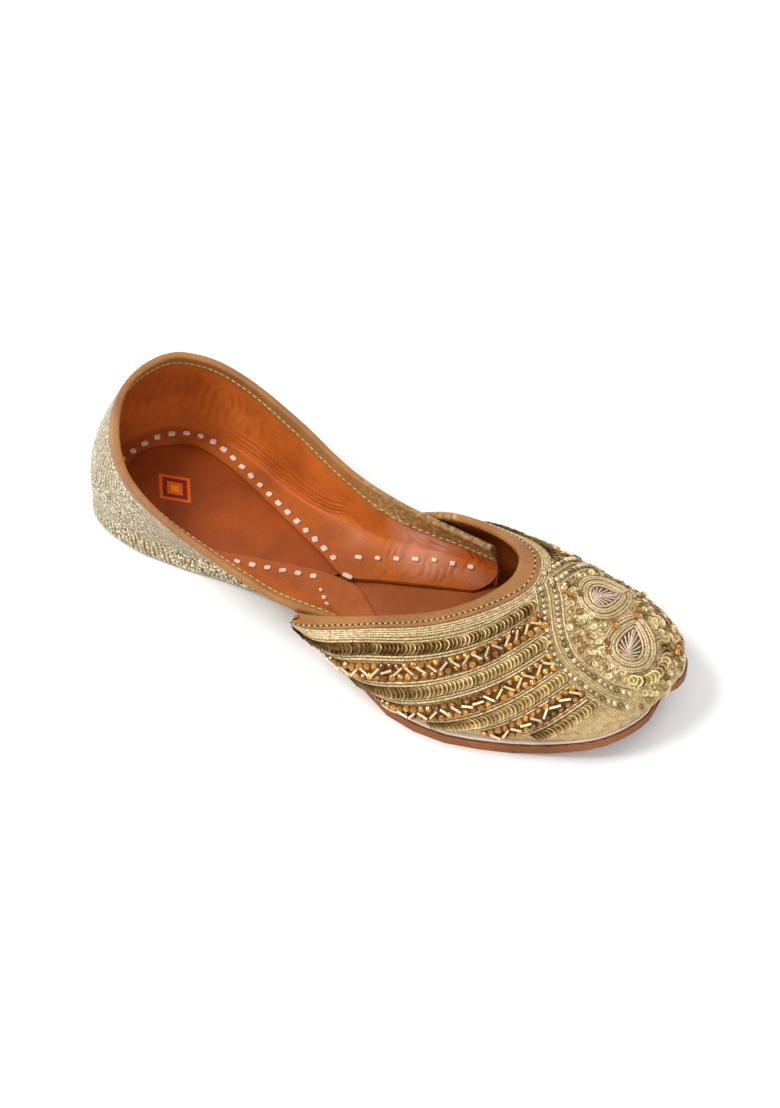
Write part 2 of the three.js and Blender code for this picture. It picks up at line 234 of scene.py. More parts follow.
class Wall:
    """A curved wall of the upper. place counts pattern rows; down is a distance from the top."""

    ARC_STEPS = 48
    HIP_SHARE = 0.45  # the hip's height as a share of the line's
    STEP_PLACE = 0.02
    STEP_DOWN = 0.25

    def __init__(self, rows, thickness):
        self.rows = rows
        self.thickness = thickness
        self.last = len(rows) - 1
        self.cache = {}

    def line(self, place):
        """One line down the wall: its curve's corners, the distances along it and its way out."""
        key = round(place, 5)
        if key in self.cache:
            return self.cache[key]
        index = clamp(int(place), 0, self.last - 1)
        t = place - index
        near = [self.rows[clamp(index + k, 0, self.last)] for k in (-1, 0, 1, 2)]
        feet = [foot_of(row) for row in near]

        def mix(values):
            return catmull_rom(*values, t)

        foot_xy = mix([foot for foot, _ in feet])
        outward = mix([out for _, out in feet]).normalized().to_3d()
        fall, crown, swell, lift = (mix([row[k] for row in near]) for k in (6, 7, 8, 9))
        top = mix([Vector(row[:3]) for row in near])
        foot = Vector((foot_xy.x, foot_xy.y, sole_top(foot_xy.x) + lift))
        height = top.z - foot.z
        shoulder = top.lerp(foot, 1 / 3) + outward * crown
        shoulder.z = top.z - fall * height
        hip = foot + outward * swell
        hip.z = foot.z + self.HIP_SHARE * height
        corners = (top, shoulder, hip, foot)
        arcs = [0.0]
        last = top
        for i in range(1, self.ARC_STEPS + 1):
            point = bezier(corners, i / self.ARC_STEPS)
            arcs.append(arcs[-1] + (point - last).length)
            last = point
        self.cache[key] = (corners, arcs, outward)
        return self.cache[key]

    def foot_outward(self, place):
        return self.line(place)[2]

    def height(self, place):
        return self.line(place)[1][-1]

    def surface(self, place, down):
        corners, arcs, _ = self.line(place)
        if down <= 0:
            share = down / arcs[1] / self.ARC_STEPS
        elif down >= arcs[-1]:
            share = 1
        else:
            low = next(i for i in range(self.ARC_STEPS) if arcs[i + 1] >= down)
            share = (low + (down - arcs[low]) / (arcs[low + 1] - arcs[low])) / self.ARC_STEPS
        return bezier(corners, share)

    def at(self, place, down):
        """The outer surface's point, its outward normal and the direction along the wall."""
        point = self.surface(place, down)
        before = self.surface(max(0, place - self.STEP_PLACE), down)
        after = self.surface(min(self.last, place + self.STEP_PLACE), down)
        above = self.surface(place, max(0, down - self.STEP_DOWN))
        below = self.surface(place, down + self.STEP_DOWN)
        along = (after - before).normalized()
        normal = along.cross(below - above).normalized()
        return point, normal, along


def bezier(corners, t):
    a, b, c, d = corners
    s = 1 - t
    return a * s ** 3 + b * (3 * s * s * t) + c * (3 * s * t * t) + d * t ** 3


VAMP = Wall(VAMP_ROWS, VAMP_WALL)
QUARTER = Wall(QUARTER_ROWS, QUARTER_WALL)


def along_rows(rows, place, column):
    """A smooth value between the rows of a short table whose first column is a place."""
    last = len(rows) - 1
    index = 0
    while index < last - 1 and place > rows[index + 1][0]:
        index += 1
    t = clamp((place - rows[index][0]) / (rows[index + 1][0] - rows[index][0]), 0, 1)
    values = [rows[clamp(index + k, 0, last)][column] for k in (-1, 0, 1, 2)]
    return catmull_rom(*values, t)


def smooth_path(points, pitch):
    """Points at an even pitch along a spline through the given ones."""
    points = [Vector(p) for p in points]
    dense = []
    last = len(points) - 1
    for i in range(last):
        near = [points[clamp(i + k, 0, last)] for k in (-1, 0, 1, 2)]
        dense += [catmull_rom(*near, k / 24) for k in range(24)]
    dense.append(points[-1])
    return even_path(dense, pitch)


def even_path(dense, pitch):
    """Points along straight steps, as near to this pitch as comes out even."""
    lengths = [0.0]
    for a, b in zip(dense, dense[1:]):
        lengths.append(lengths[-1] + (b - a).length)
    count = max(1, round(lengths[-1] / pitch))
    result = []
    index = 0
    for i in range(count + 1):
        target = lengths[-1] * i / count
        while index < len(dense) - 2 and lengths[index + 1] < target:
            index += 1
        span = max(1e-9, lengths[index + 1] - lengths[index])
        result.append(dense[index].lerp(dense[index + 1], clamp((target - lengths[index]) / span, 0, 1)))
    return result


# ---- finishes ------------------------------------------------------------------------------
def colour(red, green, blue):
    """An sRGB colour from 0 to 255 as Blender's linear one."""
    def linear(value):
        share = value / 255
        return share / 12.92 if share <= 0.04045 else ((share + 0.055) / 1.055) ** 2.4
    return (linear(red), linear(green), linear(blue), 1)


def add(tree, kind, inputs=None, **settings):
    """Adds a shader node. inputs maps a socket to a value or to another node's socket."""
    made = tree.nodes.new(kind)
    for key, value in settings.items():
        setattr(made, key, value)
    for key, value in (inputs or {}).items():
        if isinstance(value, bpy.types.NodeSocket):
            tree.links.new(value, made.inputs[key])
        else:
            made.inputs[key].default_value = value
    return made


def new_finish(name, **fixed):
    """A material and its shader, with constant sockets given by name, such as coat_weight."""
    finish = bpy.data.materials.new(name)
    finish.use_nodes = True
    shader = finish.node_tree.nodes["Principled BSDF"]
    for key, value in fixed.items():
        shader.inputs[key.replace("_", " ").title().replace("Ior", "IOR")].default_value = value
    return finish, finish.node_tree, shader


def ramp(tree, factor, stops):
    made = add(tree, "ShaderNodeValToRGB", {"Fac": factor})
    elements = made.color_ramp.elements
    for index, (position, tint) in enumerate(stops):
        element = elements[index] if index < 2 else elements.new(position)
        element.position = position
        element.color = tint
    return made.outputs["Color"]


def maths(tree, operation, first, second=0.5):
    return add(tree, "ShaderNodeMath", {0: first, 1: second}, operation=operation).outputs[0]


def blend(tree, factor, first, second):
    made = add(tree, "ShaderNodeMix", data_type="RGBA")
    for socket, value in ((made.inputs[0], factor), (made.inputs[6], first), (made.inputs[7], second)):
        if isinstance(value, bpy.types.NodeSocket):
            tree.links.new(value, socket)
        else:
            socket.default_value = value
    return made.outputs[2]


def speckle(tree, vector, scale, detail):
    """Soft random patches from 0 to 1."""
    made = add(tree, "ShaderNodeTexNoise", {"Vector": vector, "Scale": scale, "Detail": detail})
    return made.outputs["Fac"]


def mapped(tree, value, start, end, low, high):
    """A value between start and end, moved to lie between low and high."""
    return add(tree, "ShaderNodeMapRange", {"Value": value, 1: start, 2: end, 3: low, 4: high}).outputs[0]


def bump_into(tree, shader, height, strength, distance):
    made = add(tree, "ShaderNodeBump", {"Height": height, "Strength": strength, "Distance": distance})
    tree.links.new(made.outputs["Normal"], shader.inputs["Normal"])


def tint_with(tree, shader, tint, rough=None):
    tree.links.new(tint, shader.inputs["Base Color"])
    if rough is not None:
        tree.links.new(rough, shader.inputs["Roughness"])


def new_group(name, inputs, outputs):
    group = bpy.data.node_groups.new(name, "ShaderNodeTree")
    for socket, kind in inputs:
        group.interface.new_socket(socket, in_out="INPUT", socket_type=kind)
    for socket, kind in outputs:
        group.interface.new_socket(socket, in_out="OUTPUT", socket_type=kind)
    return group, group.nodes.new("NodeGroupInput"), group.nodes.new("NodeGroupOutput")


def make_leather_group():
    """Fine pores and broad mottling. Height is for a bump, Mottle for the colour."""
    group, given, result = new_group(
        "leather_grain",
        [("Vector", "NodeSocketVector"), ("Pores", "NodeSocketFloat"), ("Patches", "NodeSocketFloat")],
        [("Height", "NodeSocketFloat"), ("Mottle", "NodeSocketFloat")],
    )
    vector = given.outputs["Vector"]
    pores = add(group, "ShaderNodeTexVoronoi", {"Vector": vector, "Scale": given.outputs["Pores"]},
                feature="SMOOTH_F1")
    fine = add(group, "ShaderNodeTexNoise",
               {"Vector": vector, "Scale": given.outputs["Pores"], "Detail": 6, "Roughness": 0.65})
    broad = add(group, "ShaderNodeTexNoise",
                {"Vector": vector, "Scale": given.outputs["Patches"], "Detail": 4, "Roughness": 0.6})
    height = maths(group, "ADD", pores.outputs["Distance"], fine.outputs["Fac"])
    mixed = maths(group, "MULTIPLY", fine.outputs["Fac"], 0.35)
    mottle = maths(group, "ADD", maths(group, "MULTIPLY", broad.outputs["Fac"], 0.8), mixed)
    group.links.new(height, result.inputs["Height"])
    group.links.new(mottle, result.inputs["Mottle"])
    return group


def make_thread_group():
    """Fine parallel metal threads across one coordinate, broken up into short stitches."""
    group, given, result = new_group(
        "metal_threads",
        [("Vector", "NodeSocketVector"), ("Threads", "NodeSocketFloat"), ("Stitches", "NodeSocketFloat")],
        [("Height", "NodeSocketFloat"), ("Glint", "NodeSocketFloat")],
    )
    vector = given.outputs["Vector"]
    lines = add(group, "ShaderNodeTexWave",
                {"Vector": vector, "Scale": given.outputs["Threads"], "Distortion": 0.6, "Detail": 1},
                wave_type="BANDS", bands_direction="Y")
    cross = add(group, "ShaderNodeTexWave",
                {"Vector": vector, "Scale": given.outputs["Stitches"], "Distortion": 2.5, "Detail": 2},
                wave_type="BANDS", bands_direction="X")
    specks = add(group, "ShaderNodeTexNoise",
                 {"Vector": vector, "Scale": given.outputs["Stitches"], "Detail": 3})
    height = maths(group, "ADD", lines.outputs["Fac"], maths(group, "MULTIPLY", cross.outputs["Fac"], 0.7))
    glint = maths(group, "MULTIPLY", specks.outputs["Fac"], maths(group, "ADD", height, 0.2))
    group.links.new(height, result.inputs["Height"])
    group.links.new(glint, result.inputs["Glint"])
    return group


LEATHER_GRAIN = make_leather_group()
METAL_THREADS = make_thread_group()


def object_place(tree):
    return add(tree, "ShaderNodeTexCoord").outputs["Object"]


def uv_place(tree):
    return add(tree, "ShaderNodeTexCoord").outputs["UV"]


def away_from(tree, middle):
    """Where a spot lies, counted from this point of the pattern."""
    return add(tree, "ShaderNodeVectorMath", {0: object_place(tree), 1: metres(middle)},
               operation="SUBTRACT").outputs[0]


PORE_DEPTH = 0.0003  # every depth in the finishes is in metres
THREAD_DEPTH = 0.0002
PATCH_SCALE = 38


def leather(name, dark, light, pores, roughness, coat=0.0):
    """Leather on object coordinates; returns its parts so that a finish can add its own marks."""
    finish, tree, shader = new_finish(
        name, roughness=roughness, specular_ior_level=0.3, coat_weight=coat, coat_roughness=0.35)
    grain = add(tree, "ShaderNodeGroup", node_tree=LEATHER_GRAIN)
    tree.links.new(object_place(tree), grain.inputs["Vector"])
    grain.inputs["Pores"].default_value = pores
    grain.inputs["Patches"].default_value = PATCH_SCALE
    tint = ramp(tree, grain.outputs["Mottle"], [(0.35, dark), (0.72, light)])
    rough = mapped(tree, grain.outputs["Mottle"], 0.3, 0.8, roughness + 0.08, roughness - 0.06)
    tint_with(tree, shader, tint, rough)
    bump_into(tree, shader, grain.outputs["Height"], 0.22, PORE_DEPTH)
    return finish, tree, shader, tint, grain


PALE_PATCH = (134, 16, 22)  # the middle of the pale patch where the far wing bends
PALE_PATCH_REACH = 0.018
PALE_PATCH_HEART = 0.004


def make_lining_leather():
    """Orange lining, with painted shade in its creases and towards the flange's free edge, and paler round a
    patch where the far wing bends.
    """
    finish, tree, shader, tint, _ = leather(
        "lining_leather", colour(148, 70, 18), colour(200, 106, 38), 900, 0.52, 0.03)
    # a paler patch round one point where the far wing bends
    offset = away_from(tree, PALE_PATCH)
    distance = add(tree, "ShaderNodeVectorMath", {0: offset}, operation="LENGTH").outputs["Value"]
    near = mapped(tree, distance, PALE_PATCH_REACH, PALE_PATCH_HEART, 0, 1.2)
    paler_share = maths(tree, "MULTIPLY", near, speckle(tree, object_place(tree), 190, 5))
    # painted shade: the leather darkens towards this brown where the mesh's attribute says, in creases and
    # on the flange
    fold_and_painted_shade = add(tree, "ShaderNodeAttribute", attribute_name="fold_and_painted_shade").outputs["Fac"]
    shaded_tint = blend(tree, maths(tree, "MULTIPLY", fold_and_painted_shade, 0.62), tint, colour(84, 32, 10))
    tint_with(tree, shader, blend(tree, paler_share, shaded_tint, colour(222, 170, 148)))
    return finish


LOZENGE = [  # one lozenge inside the next: half its length, and its ink
    (0.0104, colour(236, 104, 22)), (0.0082, colour(112, 18, 20)), (0.0052, colour(236, 104, 22)),
    (0.0026, colour(252, 150, 40)),
]
LOZENGE_MIDDLE = (28.5, -0.5, 8)
LOZENGE_TURN = math.radians(20)
LOZENGE_SLIM = 1.35  # its length over its width


def make_pad_leather():
    """The sock under the heel, with a plain stamped lozenge."""
    finish, tree, shader, tint, _ = leather(
        "pad_leather", colour(114, 46, 8), colour(158, 72, 16), 1100, 0.5, 0.03)
    turned = add(tree, "ShaderNodeVectorRotate",
                 {"Vector": away_from(tree, LOZENGE_MIDDLE), "Angle": LOZENGE_TURN},
                 rotation_type="Z_AXIS").outputs[0]
    split = add(tree, "ShaderNodeSeparateXYZ", {0: turned})
    across = maths(tree, "MULTIPLY", maths(tree, "ABSOLUTE", split.outputs["Y"]), LOZENGE_SLIM)
    reach = maths(tree, "ADD", maths(tree, "ABSOLUTE", split.outputs["X"]), across)
    for size, ink in LOZENGE:
        inside = maths(tree, "MULTIPLY", maths(tree, "LESS_THAN", reach, size), 0.9)
        tint = blend(tree, inside, tint, ink)
    tint_with(tree, shader, tint)
    return finish


WORN_START = (96, 12, 36)  # the binding is worn in front of this point, to its left and below it
WORN_FULL = 124


def make_binding_leather():
    """Tan binding, worn on the far wing with olive and gold left in its grain."""
    finish, tree, shader, tint, _ = leather(
        "binding_leather", colour(120, 76, 36), colour(164, 112, 60), 1000, 0.5, 0.02)
    place = object_place(tree)
    split = add(tree, "ShaderNodeSeparateXYZ", {0: place})
    start = metres(WORN_START)
    far = mapped(tree, split.outputs["X"], start.x, metres((WORN_FULL, 0, 0)).x, 0, 1)
    side = maths(tree, "GREATER_THAN", split.outputs["Y"], start.y)
    low = maths(tree, "LESS_THAN", split.outputs["Z"], start.z)
    worn = maths(tree, "MULTIPLY", maths(tree, "MULTIPLY", far, side), low)
    mottled = ramp(tree, speckle(tree, place, 520, 4), [
        (0.38, colour(118, 84, 40)), (0.55, colour(158, 122, 74)), (0.68, colour(196, 164, 108))])
    tint_with(tree, shader, blend(tree, maths(tree, "MULTIPLY", worn, 0.8), tint, mottled))
    return finish


def make_sole_leather():
    """Stacked leather: the cut edge shows thin darker layers."""
    finish, tree, shader, tint, grain = leather(
        "sole_leather", colour(116, 66, 30), colour(176, 108, 58), 700, 0.6)
    layers = add(tree, "ShaderNodeTexWave",
                 {"Vector": object_place(tree), "Scale": 260, "Distortion": 3, "Detail": 3,
                  "Detail Scale": 0.6},
                 wave_type="BANDS", bands_direction="Z").outputs["Fac"]
    layered = blend(tree, maths(tree, "MULTIPLY", layers, 0.55), tint, colour(84, 44, 20))
    tint_with(tree, shader, layered)
    mixed = maths(tree, "ADD", grain.outputs["Height"], layers)
    bump_into(tree, shader, mixed, 0.3, PORE_DEPTH)
    return finish


def make_plain_leather(name, dark, light, roughness):
    return leather(name, dark, light, 800, roughness)[0]


def metal(name, dark, light, roughness, metallic, tone=False, scale=600):
    """Metal thread, foil or bead: patchy by place and, where asked, by each bead's own tone."""
    finish, tree, shader = new_finish(name, roughness=roughness, metallic=metallic)
    patches = speckle(tree, object_place(tree), scale, 2)
    factor = patches
    if tone:
        own = add(tree, "ShaderNodeAttribute", attribute_name="tone").outputs["Fac"]
        faint = maths(tree, "MULTIPLY", patches, 0.4)
        factor = maths(tree, "ADD", faint, maths(tree, "MULTIPLY", own, 0.7))
    tint = ramp(tree, factor, [(0.25, dark), (0.8, light)])
    tint_with(tree, shader, tint, mapped(tree, patches, 0, 1, roughness - 0.08, roughness + 0.1))
    return finish, tree, shader


def make_gold_cloth():
    """The vamp's ground: pale gold cloth couched with fine metal thread."""
    finish, tree, shader = new_finish("gold_cloth", roughness=0.45, metallic=0.4)
    threads = add(tree, "ShaderNodeGroup", node_tree=METAL_THREADS)
    tree.links.new(uv_place(tree), threads.inputs["Vector"])
    threads.inputs["Threads"].default_value = 520
    threads.inputs["Stitches"].default_value = 640
    tint = ramp(tree, threads.outputs["Glint"], [
        (0.15, colour(138, 108, 58)), (0.5, colour(196, 166, 108)), (0.85, colour(230, 206, 160))])
    tint_with(tree, shader, tint)
    bump_into(tree, shader, threads.outputs["Height"], 0.5, 2 * THREAD_DEPTH)
    return finish


def make_silver_brocade():
    """The quarter's cloth: silvery gold, with fine wavy arcs and flecks of gold and pale green."""
    finish, tree, shader = new_finish("silver_brocade", roughness=0.36, metallic=0.55)
    uv = uv_place(tree)
    arcs = add(tree, "ShaderNodeTexWave",
               {"Vector": uv, "Scale": 185, "Distortion": 6, "Detail": 2, "Detail Scale": 0.4},
               wave_type="RINGS", rings_direction="Z").outputs["Fac"]
    specks = add(tree, "ShaderNodeTexVoronoi", {"Vector": uv, "Scale": 1900}).outputs["Color"]
    ground = ramp(tree, arcs, [
        (0.2, colour(112, 92, 58)), (0.5, colour(156, 136, 98)), (0.8, colour(200, 183, 148))])
    flecks = ramp(tree, specks, [
        (0.2, colour(52, 40, 18)), (0.5, colour(142, 120, 80)), (0.78, colour(252, 240, 212))])
    share = mapped(tree, speckle(tree, uv, 55, 1), 0.42, 0.6, 0.45, 0.85)
    gold = blend(tree, share, ground, flecks)
    patches = maths(tree, "GREATER_THAN", speckle(tree, uv, 130, 4), 0.6)
    tint_with(tree, shader, blend(tree, maths(tree, "MULTIPLY", patches, 0.18), gold, colour(180, 186, 150)))
    heights = maths(tree, "ADD", arcs, add(tree, "ShaderNodeSeparateColor", {0: specks}).outputs[0])
    bump_into(tree, shader, heights, 0.4, THREAD_DEPTH)
    return finish


def make_purl_metal(name, dark, light):
    """Coiled metal thread: fine turns run round the cord."""
    finish, tree, shader = metal(name, dark, light, 0.34, 0.55, scale=900)
    turns = add(tree, "ShaderNodeTexVoronoi", {"Vector": object_place(tree), "Scale": 1900})
    bump_into(tree, shader, turns.outputs["Distance"], 0.5, THREAD_DEPTH)
    return finish


def make_amber_bead():
    """Cut amber glass over foil, with a clear gloss."""
    finish, _, shader = metal(
        "amber_bead", colour(108, 64, 16), colour(198, 138, 58), 0.2, 0.6, tone=True)
    shader.inputs["Coat Weight"].default_value = 0.7
    shader.inputs["Coat Roughness"].default_value = 0.04
    return finish


FINISHES = {
    "lining": make_lining_leather(),
    "pad": make_pad_leather(),
    "binding": make_binding_leather(),
    "sole": make_sole_leather(),
    "rand": make_plain_leather("rand_leather", colour(196, 172, 154), colour(232, 214, 200), 0.6),
    "thong": make_plain_leather("thong_leather", colour(186, 154, 130), colour(228, 206, 186), 0.5),
    "insole": make_plain_leather("insole_leather", colour(124, 58, 20), colour(162, 84, 32), 0.5),
    "cloth": make_gold_cloth(),
    "brocade": make_silver_brocade(),
    "zari": make_purl_metal("zari_thread", colour(164, 136, 90), colour(236, 214, 172)),
    "cord": make_purl_metal("gold_purl", colour(160, 130, 80), colour(230, 206, 160)),
    "silver": make_purl_metal("silver_thread", colour(176, 146, 124), colour(236, 212, 194)),
    "sequin": metal("gold_sequin", colour(112, 78, 28), colour(250, 222, 156), 0.28, 0.6, tone=True)[0],
    "ring": metal("pale_sequin", colour(128, 94, 46), colour(230, 204, 152), 0.34, 0.55, tone=True)[0],
    "bead": make_amber_bead(),
    "bugle": metal("bugle_metal", colour(196, 152, 84), colour(255, 234, 190), 0.22, 0.6, tone=True)[0],
    "round": metal("round_bead", colour(128, 108, 74), colour(224, 204, 166), 0.2, 0.8, tone=True)[0],
    "stitch": metal("binding_thread", colour(176, 146, 84), colour(232, 208, 150), 0.45, 0.25)[0],
    # painted shade: the dark strips under the bands of beads and sequins, and the dark sheets under the
    # leaves' threads
    "under": make_plain_leather("band_painted_shade", colour(82, 54, 20), colour(138, 98, 42), 0.8),
    "shade": make_plain_leather("leaf_painted_shade", colour(58, 42, 20), colour(96, 70, 34), 0.8),
    "hole": make_plain_leather("needle_hole", colour(40, 22, 12), colour(74, 42, 24), 0.8),
}

WORK = "gold_embroidery"  # the slot name that everything sewn on the vamp passes along
MIDDLE_TONE = 0.5


# ---- mesh helpers ----------------------------------------------------------------------------
SMOOTH_UNDER = math.radians(50)  # edges that turn less than this are shaded smooth


def select_only(piece):
    bpy.ops.object.select_all(action="DESELECT")
    piece.select_set(True)
    bpy.context.view_layer.objects.active = piece


def use_modifier(piece, kind, **settings):
    select_only(piece)
    modifier = piece.modifiers.new(kind.lower(), kind)
    for key, value in settings.items():
        setattr(modifier, key, value)
    bpy.ops.object.modifier_apply(modifier=modifier.name)


def dress(piece, finish, slot, *nodes):
    """Gives a piece its finish and the body it moves with; slot is not used."""
    piece.data.materials.clear()
    piece.data.materials.append(FINISHES[finish])
    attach(piece, "root")
    if nodes:
        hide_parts(*nodes)
    return piece


def laid_grid(name, columns, rows, corner, flip=False):
    """A grid primitive laid so that corner(a, b) gives each of its points, a and b from 0 to 1."""
    bpy.ops.object.select_all(action="DESELECT")
    bpy.ops.mesh.primitive_grid_add(x_subdivisions=columns, y_subdivisions=rows, size=2)
    piece = bpy.context.object
    piece.name = name
    flat = [((v.co.x + 1) / 2, (v.co.y + 1) / 2) for v in piece.data.vertices]
    for vertex, (a, b) in zip(piece.data.vertices, flat):
        vertex.co = metres(corner(a, b))
    if flip:
        bpy.ops.object.mode_set(mode="EDIT")
        bpy.ops.mesh.select_all(action="SELECT")
        bpy.ops.mesh.flip_normals()
        bpy.ops.object.mode_set(mode="OBJECT")
    return piece


def stretch_uv(piece, length, width):
    """Turns a grid's 0 to 1 UV map into metres along and across the piece."""
    for loop in piece.data.uv_layers.active.data:
        loop.uv = (loop.uv.x * length * MM, loop.uv.y * width * MM)


def thicken(piece, thickness):
    """Gives a grid its thickness, inward from the face that shows."""
    use_modifier(piece, "SOLIDIFY", thickness=thickness * MM, offset=-1)
    select_only(piece)
    bpy.ops.object.shade_smooth_by_angle(angle=SMOOTH_UNDER)


def soft_noise(point, scale):
    return noise.noise(Vector(point) * scale)


# ---- the vamp and its lining ------------------------------------------------------------------
BINDING_SHOWS = [  # place along the throat, width of the binding that shows there
    (0, 6), (3, 5.5), (5, 6.8), (6, 7.4), (7, 6.2), (8, 5), (10, 5.4), (12, 6.6),
]
THROAT_INSIDE = 6.5
PROUD = 0.45  # a binding stands this far over the wall
BINDING_SKIN = 0.7
UNDER_BINDING = 2  # cloth and lining start this far below the top edge, or above the outer hem
LINING_TUCK_IN = 1.3
LINING_TUCK_DOWN = 1.5


def make_vamp():
    def outer(a, b):
        place = a * VAMP.last
        start = along_rows(BINDING_SHOWS, place, 1) - UNDER_BINDING
        down = start + b * (VAMP.height(place) - start)
        point, normal, _ = VAMP.at(place, down)
        return point + normal * (0.14 * soft_noise(point, 0.35))

    piece = laid_grid("vamp_cloth", 200, 52, outer)
    stretch_uv(piece, 270, 50)
    thicken(piece, SKIN)
    return dress(piece, "cloth", WORK, "vamp")


def make_vamp_lining():
    def inner(a, b):
        place = a * VAMP.last
        height = VAMP.height(place)
        point, normal, _ = VAMP.at(place, UNDER_BINDING + b * (height - UNDER_BINDING))
        point = point - normal * VAMP_WALL
        point.z = max(point.z, VAMP.surface(place, height).z)
        tuck = smooth_step(0.9, 1, b)
        inward = VAMP.foot_outward(place) * (LINING_TUCK_IN * tuck)
        return point - inward - Vector((0, 0, LINING_TUCK_DOWN * tuck))

    piece = laid_grid("vamp_lining", 130, 26, inner, flip=True)
    thicken(piece, SKIN)
    return dress(piece, "lining", "lining_leather")


# ---- the bindings -----------------------------------------------------------------------------
FOLD_SHARE = 0.3  # share of the strip's grid that lies round the fold


def folded_strip(wall, place, b, outside, inside):
    """A strip folded over the wall's top edge. b runs from its outer hem to its inner one."""
    across = (1 - FOLD_SHARE) / 2
    radius = wall.thickness / 2 + PROUD
    if b < across:
        point, normal, _ = wall.at(place, outside * (1 - b / across))
        return point + normal * PROUD
    if b > 1 - across:
        point, normal, _ = wall.at(place, inside * (b - 1 + across) / across)
        return point - normal * (wall.thickness + PROUD)
    point, normal, along = wall.at(place, 0)
    middle = point - normal * (wall.thickness / 2)
    upward = normal.cross(along)
    if upward.z < 0:
        upward = -upward
    angle = math.pi * (b - across) / FOLD_SHARE
    return middle + normal * (radius * math.cos(angle)) + upward * (radius * 0.75 * math.sin(angle))


def make_throat_binding():
    def strip(a, b):
        place = a * VAMP.last
        return folded_strip(VAMP, place, b, along_rows(BINDING_SHOWS, place, 1), THROAT_INSIDE)

    piece = laid_grid("throat_fold", 190, 24, strip, flip=True)
    thicken(piece, BINDING_SKIN)
    return dress(piece, "binding", "binding_leather", "throat_binding")


COLLAR_OUTSIDE = 4.2
COLLAR_INSIDE = [  # place along the collar, how far the binding reaches down inside
    (0, 4), (6, 4), (9, 4.6), (12, 5), (15, 5), (17, 6.5), (18.5, 8.5), (20, 9.5),
]


def make_collar_binding():
    def strip(a, b):
        place = a * QUARTER.last
        inside = along_rows(COLLAR_INSIDE, place, 1)
        point = folded_strip(QUARTER, place, b, COLLAR_OUTSIDE, inside)
        return point + Vector((0, 0, 0.12 * soft_noise(point, 0.2)))

    piece = laid_grid("collar_fold", 230, 24, strip, flip=True)
    thicken(piece, BINDING_SKIN)
    return dress(piece, "binding", "binding_leather", "collar_binding")


# ---- the quarter and its lining -----------------------------------------------------------------
SKIRT_START = 0.84  # share of the cloth's height at which it leaves the wall for the sole's side
SKIRT_PLACES = (3.6, 5.2, 15.2, 16.6)  # the stretch round the heel where it does so
SKIRT_OUT = 2.4
SKIRT_DROP = 3.1
CLOTH_START = 2.5


def make_quarter():
    def outer(a, b):
        place = a * QUARTER.last
        down = CLOTH_START + b * (QUARTER.height(place) - CLOTH_START)
        point, normal, _ = QUARTER.at(place, down)
        drawn = smooth_step(SKIRT_START, 1, b) * between(SKIRT_PLACES, place)
        outward = QUARTER.foot_outward(place)
        point = point + outward * (SKIRT_OUT * drawn) - Vector((0, 0, SKIRT_DROP * drawn))
        return point + normal * (0.18 * soft_noise(point, 0.12))

    piece = laid_grid("quarter_cloth", 210, 40, outer)
    stretch_uv(piece, 380, 48)
    thicken(piece, SKIN)
    return dress(piece, "brocade", "silver_brocade", "quarter")


HEEL_PLACES = (8, 9.5, 12.6, 14.2)  # the upright wrinkles' stretch along the quarter
HEEL_BAND = (0.12, 0.4, 0.62, 0.82)  # and down it, as a share of its height
HEEL_WRINKLE_PITCH = 2.7
HEEL_WRINKLE_DEPTH = 0.3
CREASE_PLACES = (12.2, 13.2, 15.2, 16.8)  # the long creases' stretch along the far side
CREASES = ((7.4, 0.5), (9.2, 0.4), (11.4, 0.3))  # each one's height over the foot, and its depth
WING_START = 17  # the far wing's wrinkles fan out in front of this row
WING_SLANT = 0.75
WING_WRINKLES = 5.5  # for each pattern row
WING_WRINKLE_DEPTH = 0.6
ROW_LENGTH = 13  # of the quarter's pattern rows round the heel, about


def fine_fold(turns):
    """A narrow fold once every turn."""
    return (0.5 + 0.5 * math.cos(2 * math.pi * turns)) ** 2.5


def wing_fan(place, share, point):
    """How many wrinkles of the fan lie behind this point; share is 1 at the wall's foot."""
    return WING_WRINKLES * (place - WING_START - WING_SLANT * share) + 0.9 * soft_noise(point, 0.14)


def painted_crease_shade(relief):
    """How much painted shade a crease this deep gets."""
    return clamp(-1.9 * relief - 0.1, 0, 1)


def mark_painted_shade(piece, shades):
    """Keeps each point's painted shade on the mesh for the lining's finish to read."""
    piece.data.attributes.new("fold_and_painted_shade", "FLOAT", "POINT").data.foreach_set("value", shades)


def lining_relief(place, down, height, point):
    """How far the lining stands into the shoe: creases are troughs, folds are ridges."""
    share = down / height
    over = height - down
    relief = 0.12 * soft_noise(point, 0.09)
    heel = between(HEEL_PLACES, place) * between(HEEL_BAND, share)
    along = ROW_LENGTH * place + 1.3 * soft_noise(point, 0.12) - 0.12 * over
    broken = smooth_step(-0.8, 0.2, soft_noise(point + Vector((40, 0, 0)), 0.13))
    relief -= HEEL_WRINKLE_DEPTH * heel * broken * fine_fold(along / HEEL_WRINKLE_PITCH)
    side = between(CREASE_PLACES, place)
    for index, (crease, depth) in enumerate(CREASES):
        wander = crease + 0.5 * (place - 14.5) * (0.6 - 0.5 * index) + 0.7 * soft_noise(point, 0.07)
        relief -= depth * side * hump(over, wander, 0.5)
        relief += 0.16 * side * hump(over, wander + 1, 0.8)
    front = smooth_step(17.3, 18.3, place) * smooth_step(0.1, 0.3, share)
    broken = smooth_step(-0.4, 0.25, soft_noise(point + Vector((0, 60, 0)), 0.16))
    relief -= WING_WRINKLE_DEPTH * front * broken * fine_fold(wing_fan(place, share, point))
    return relief * smooth_step(3, 6, over)


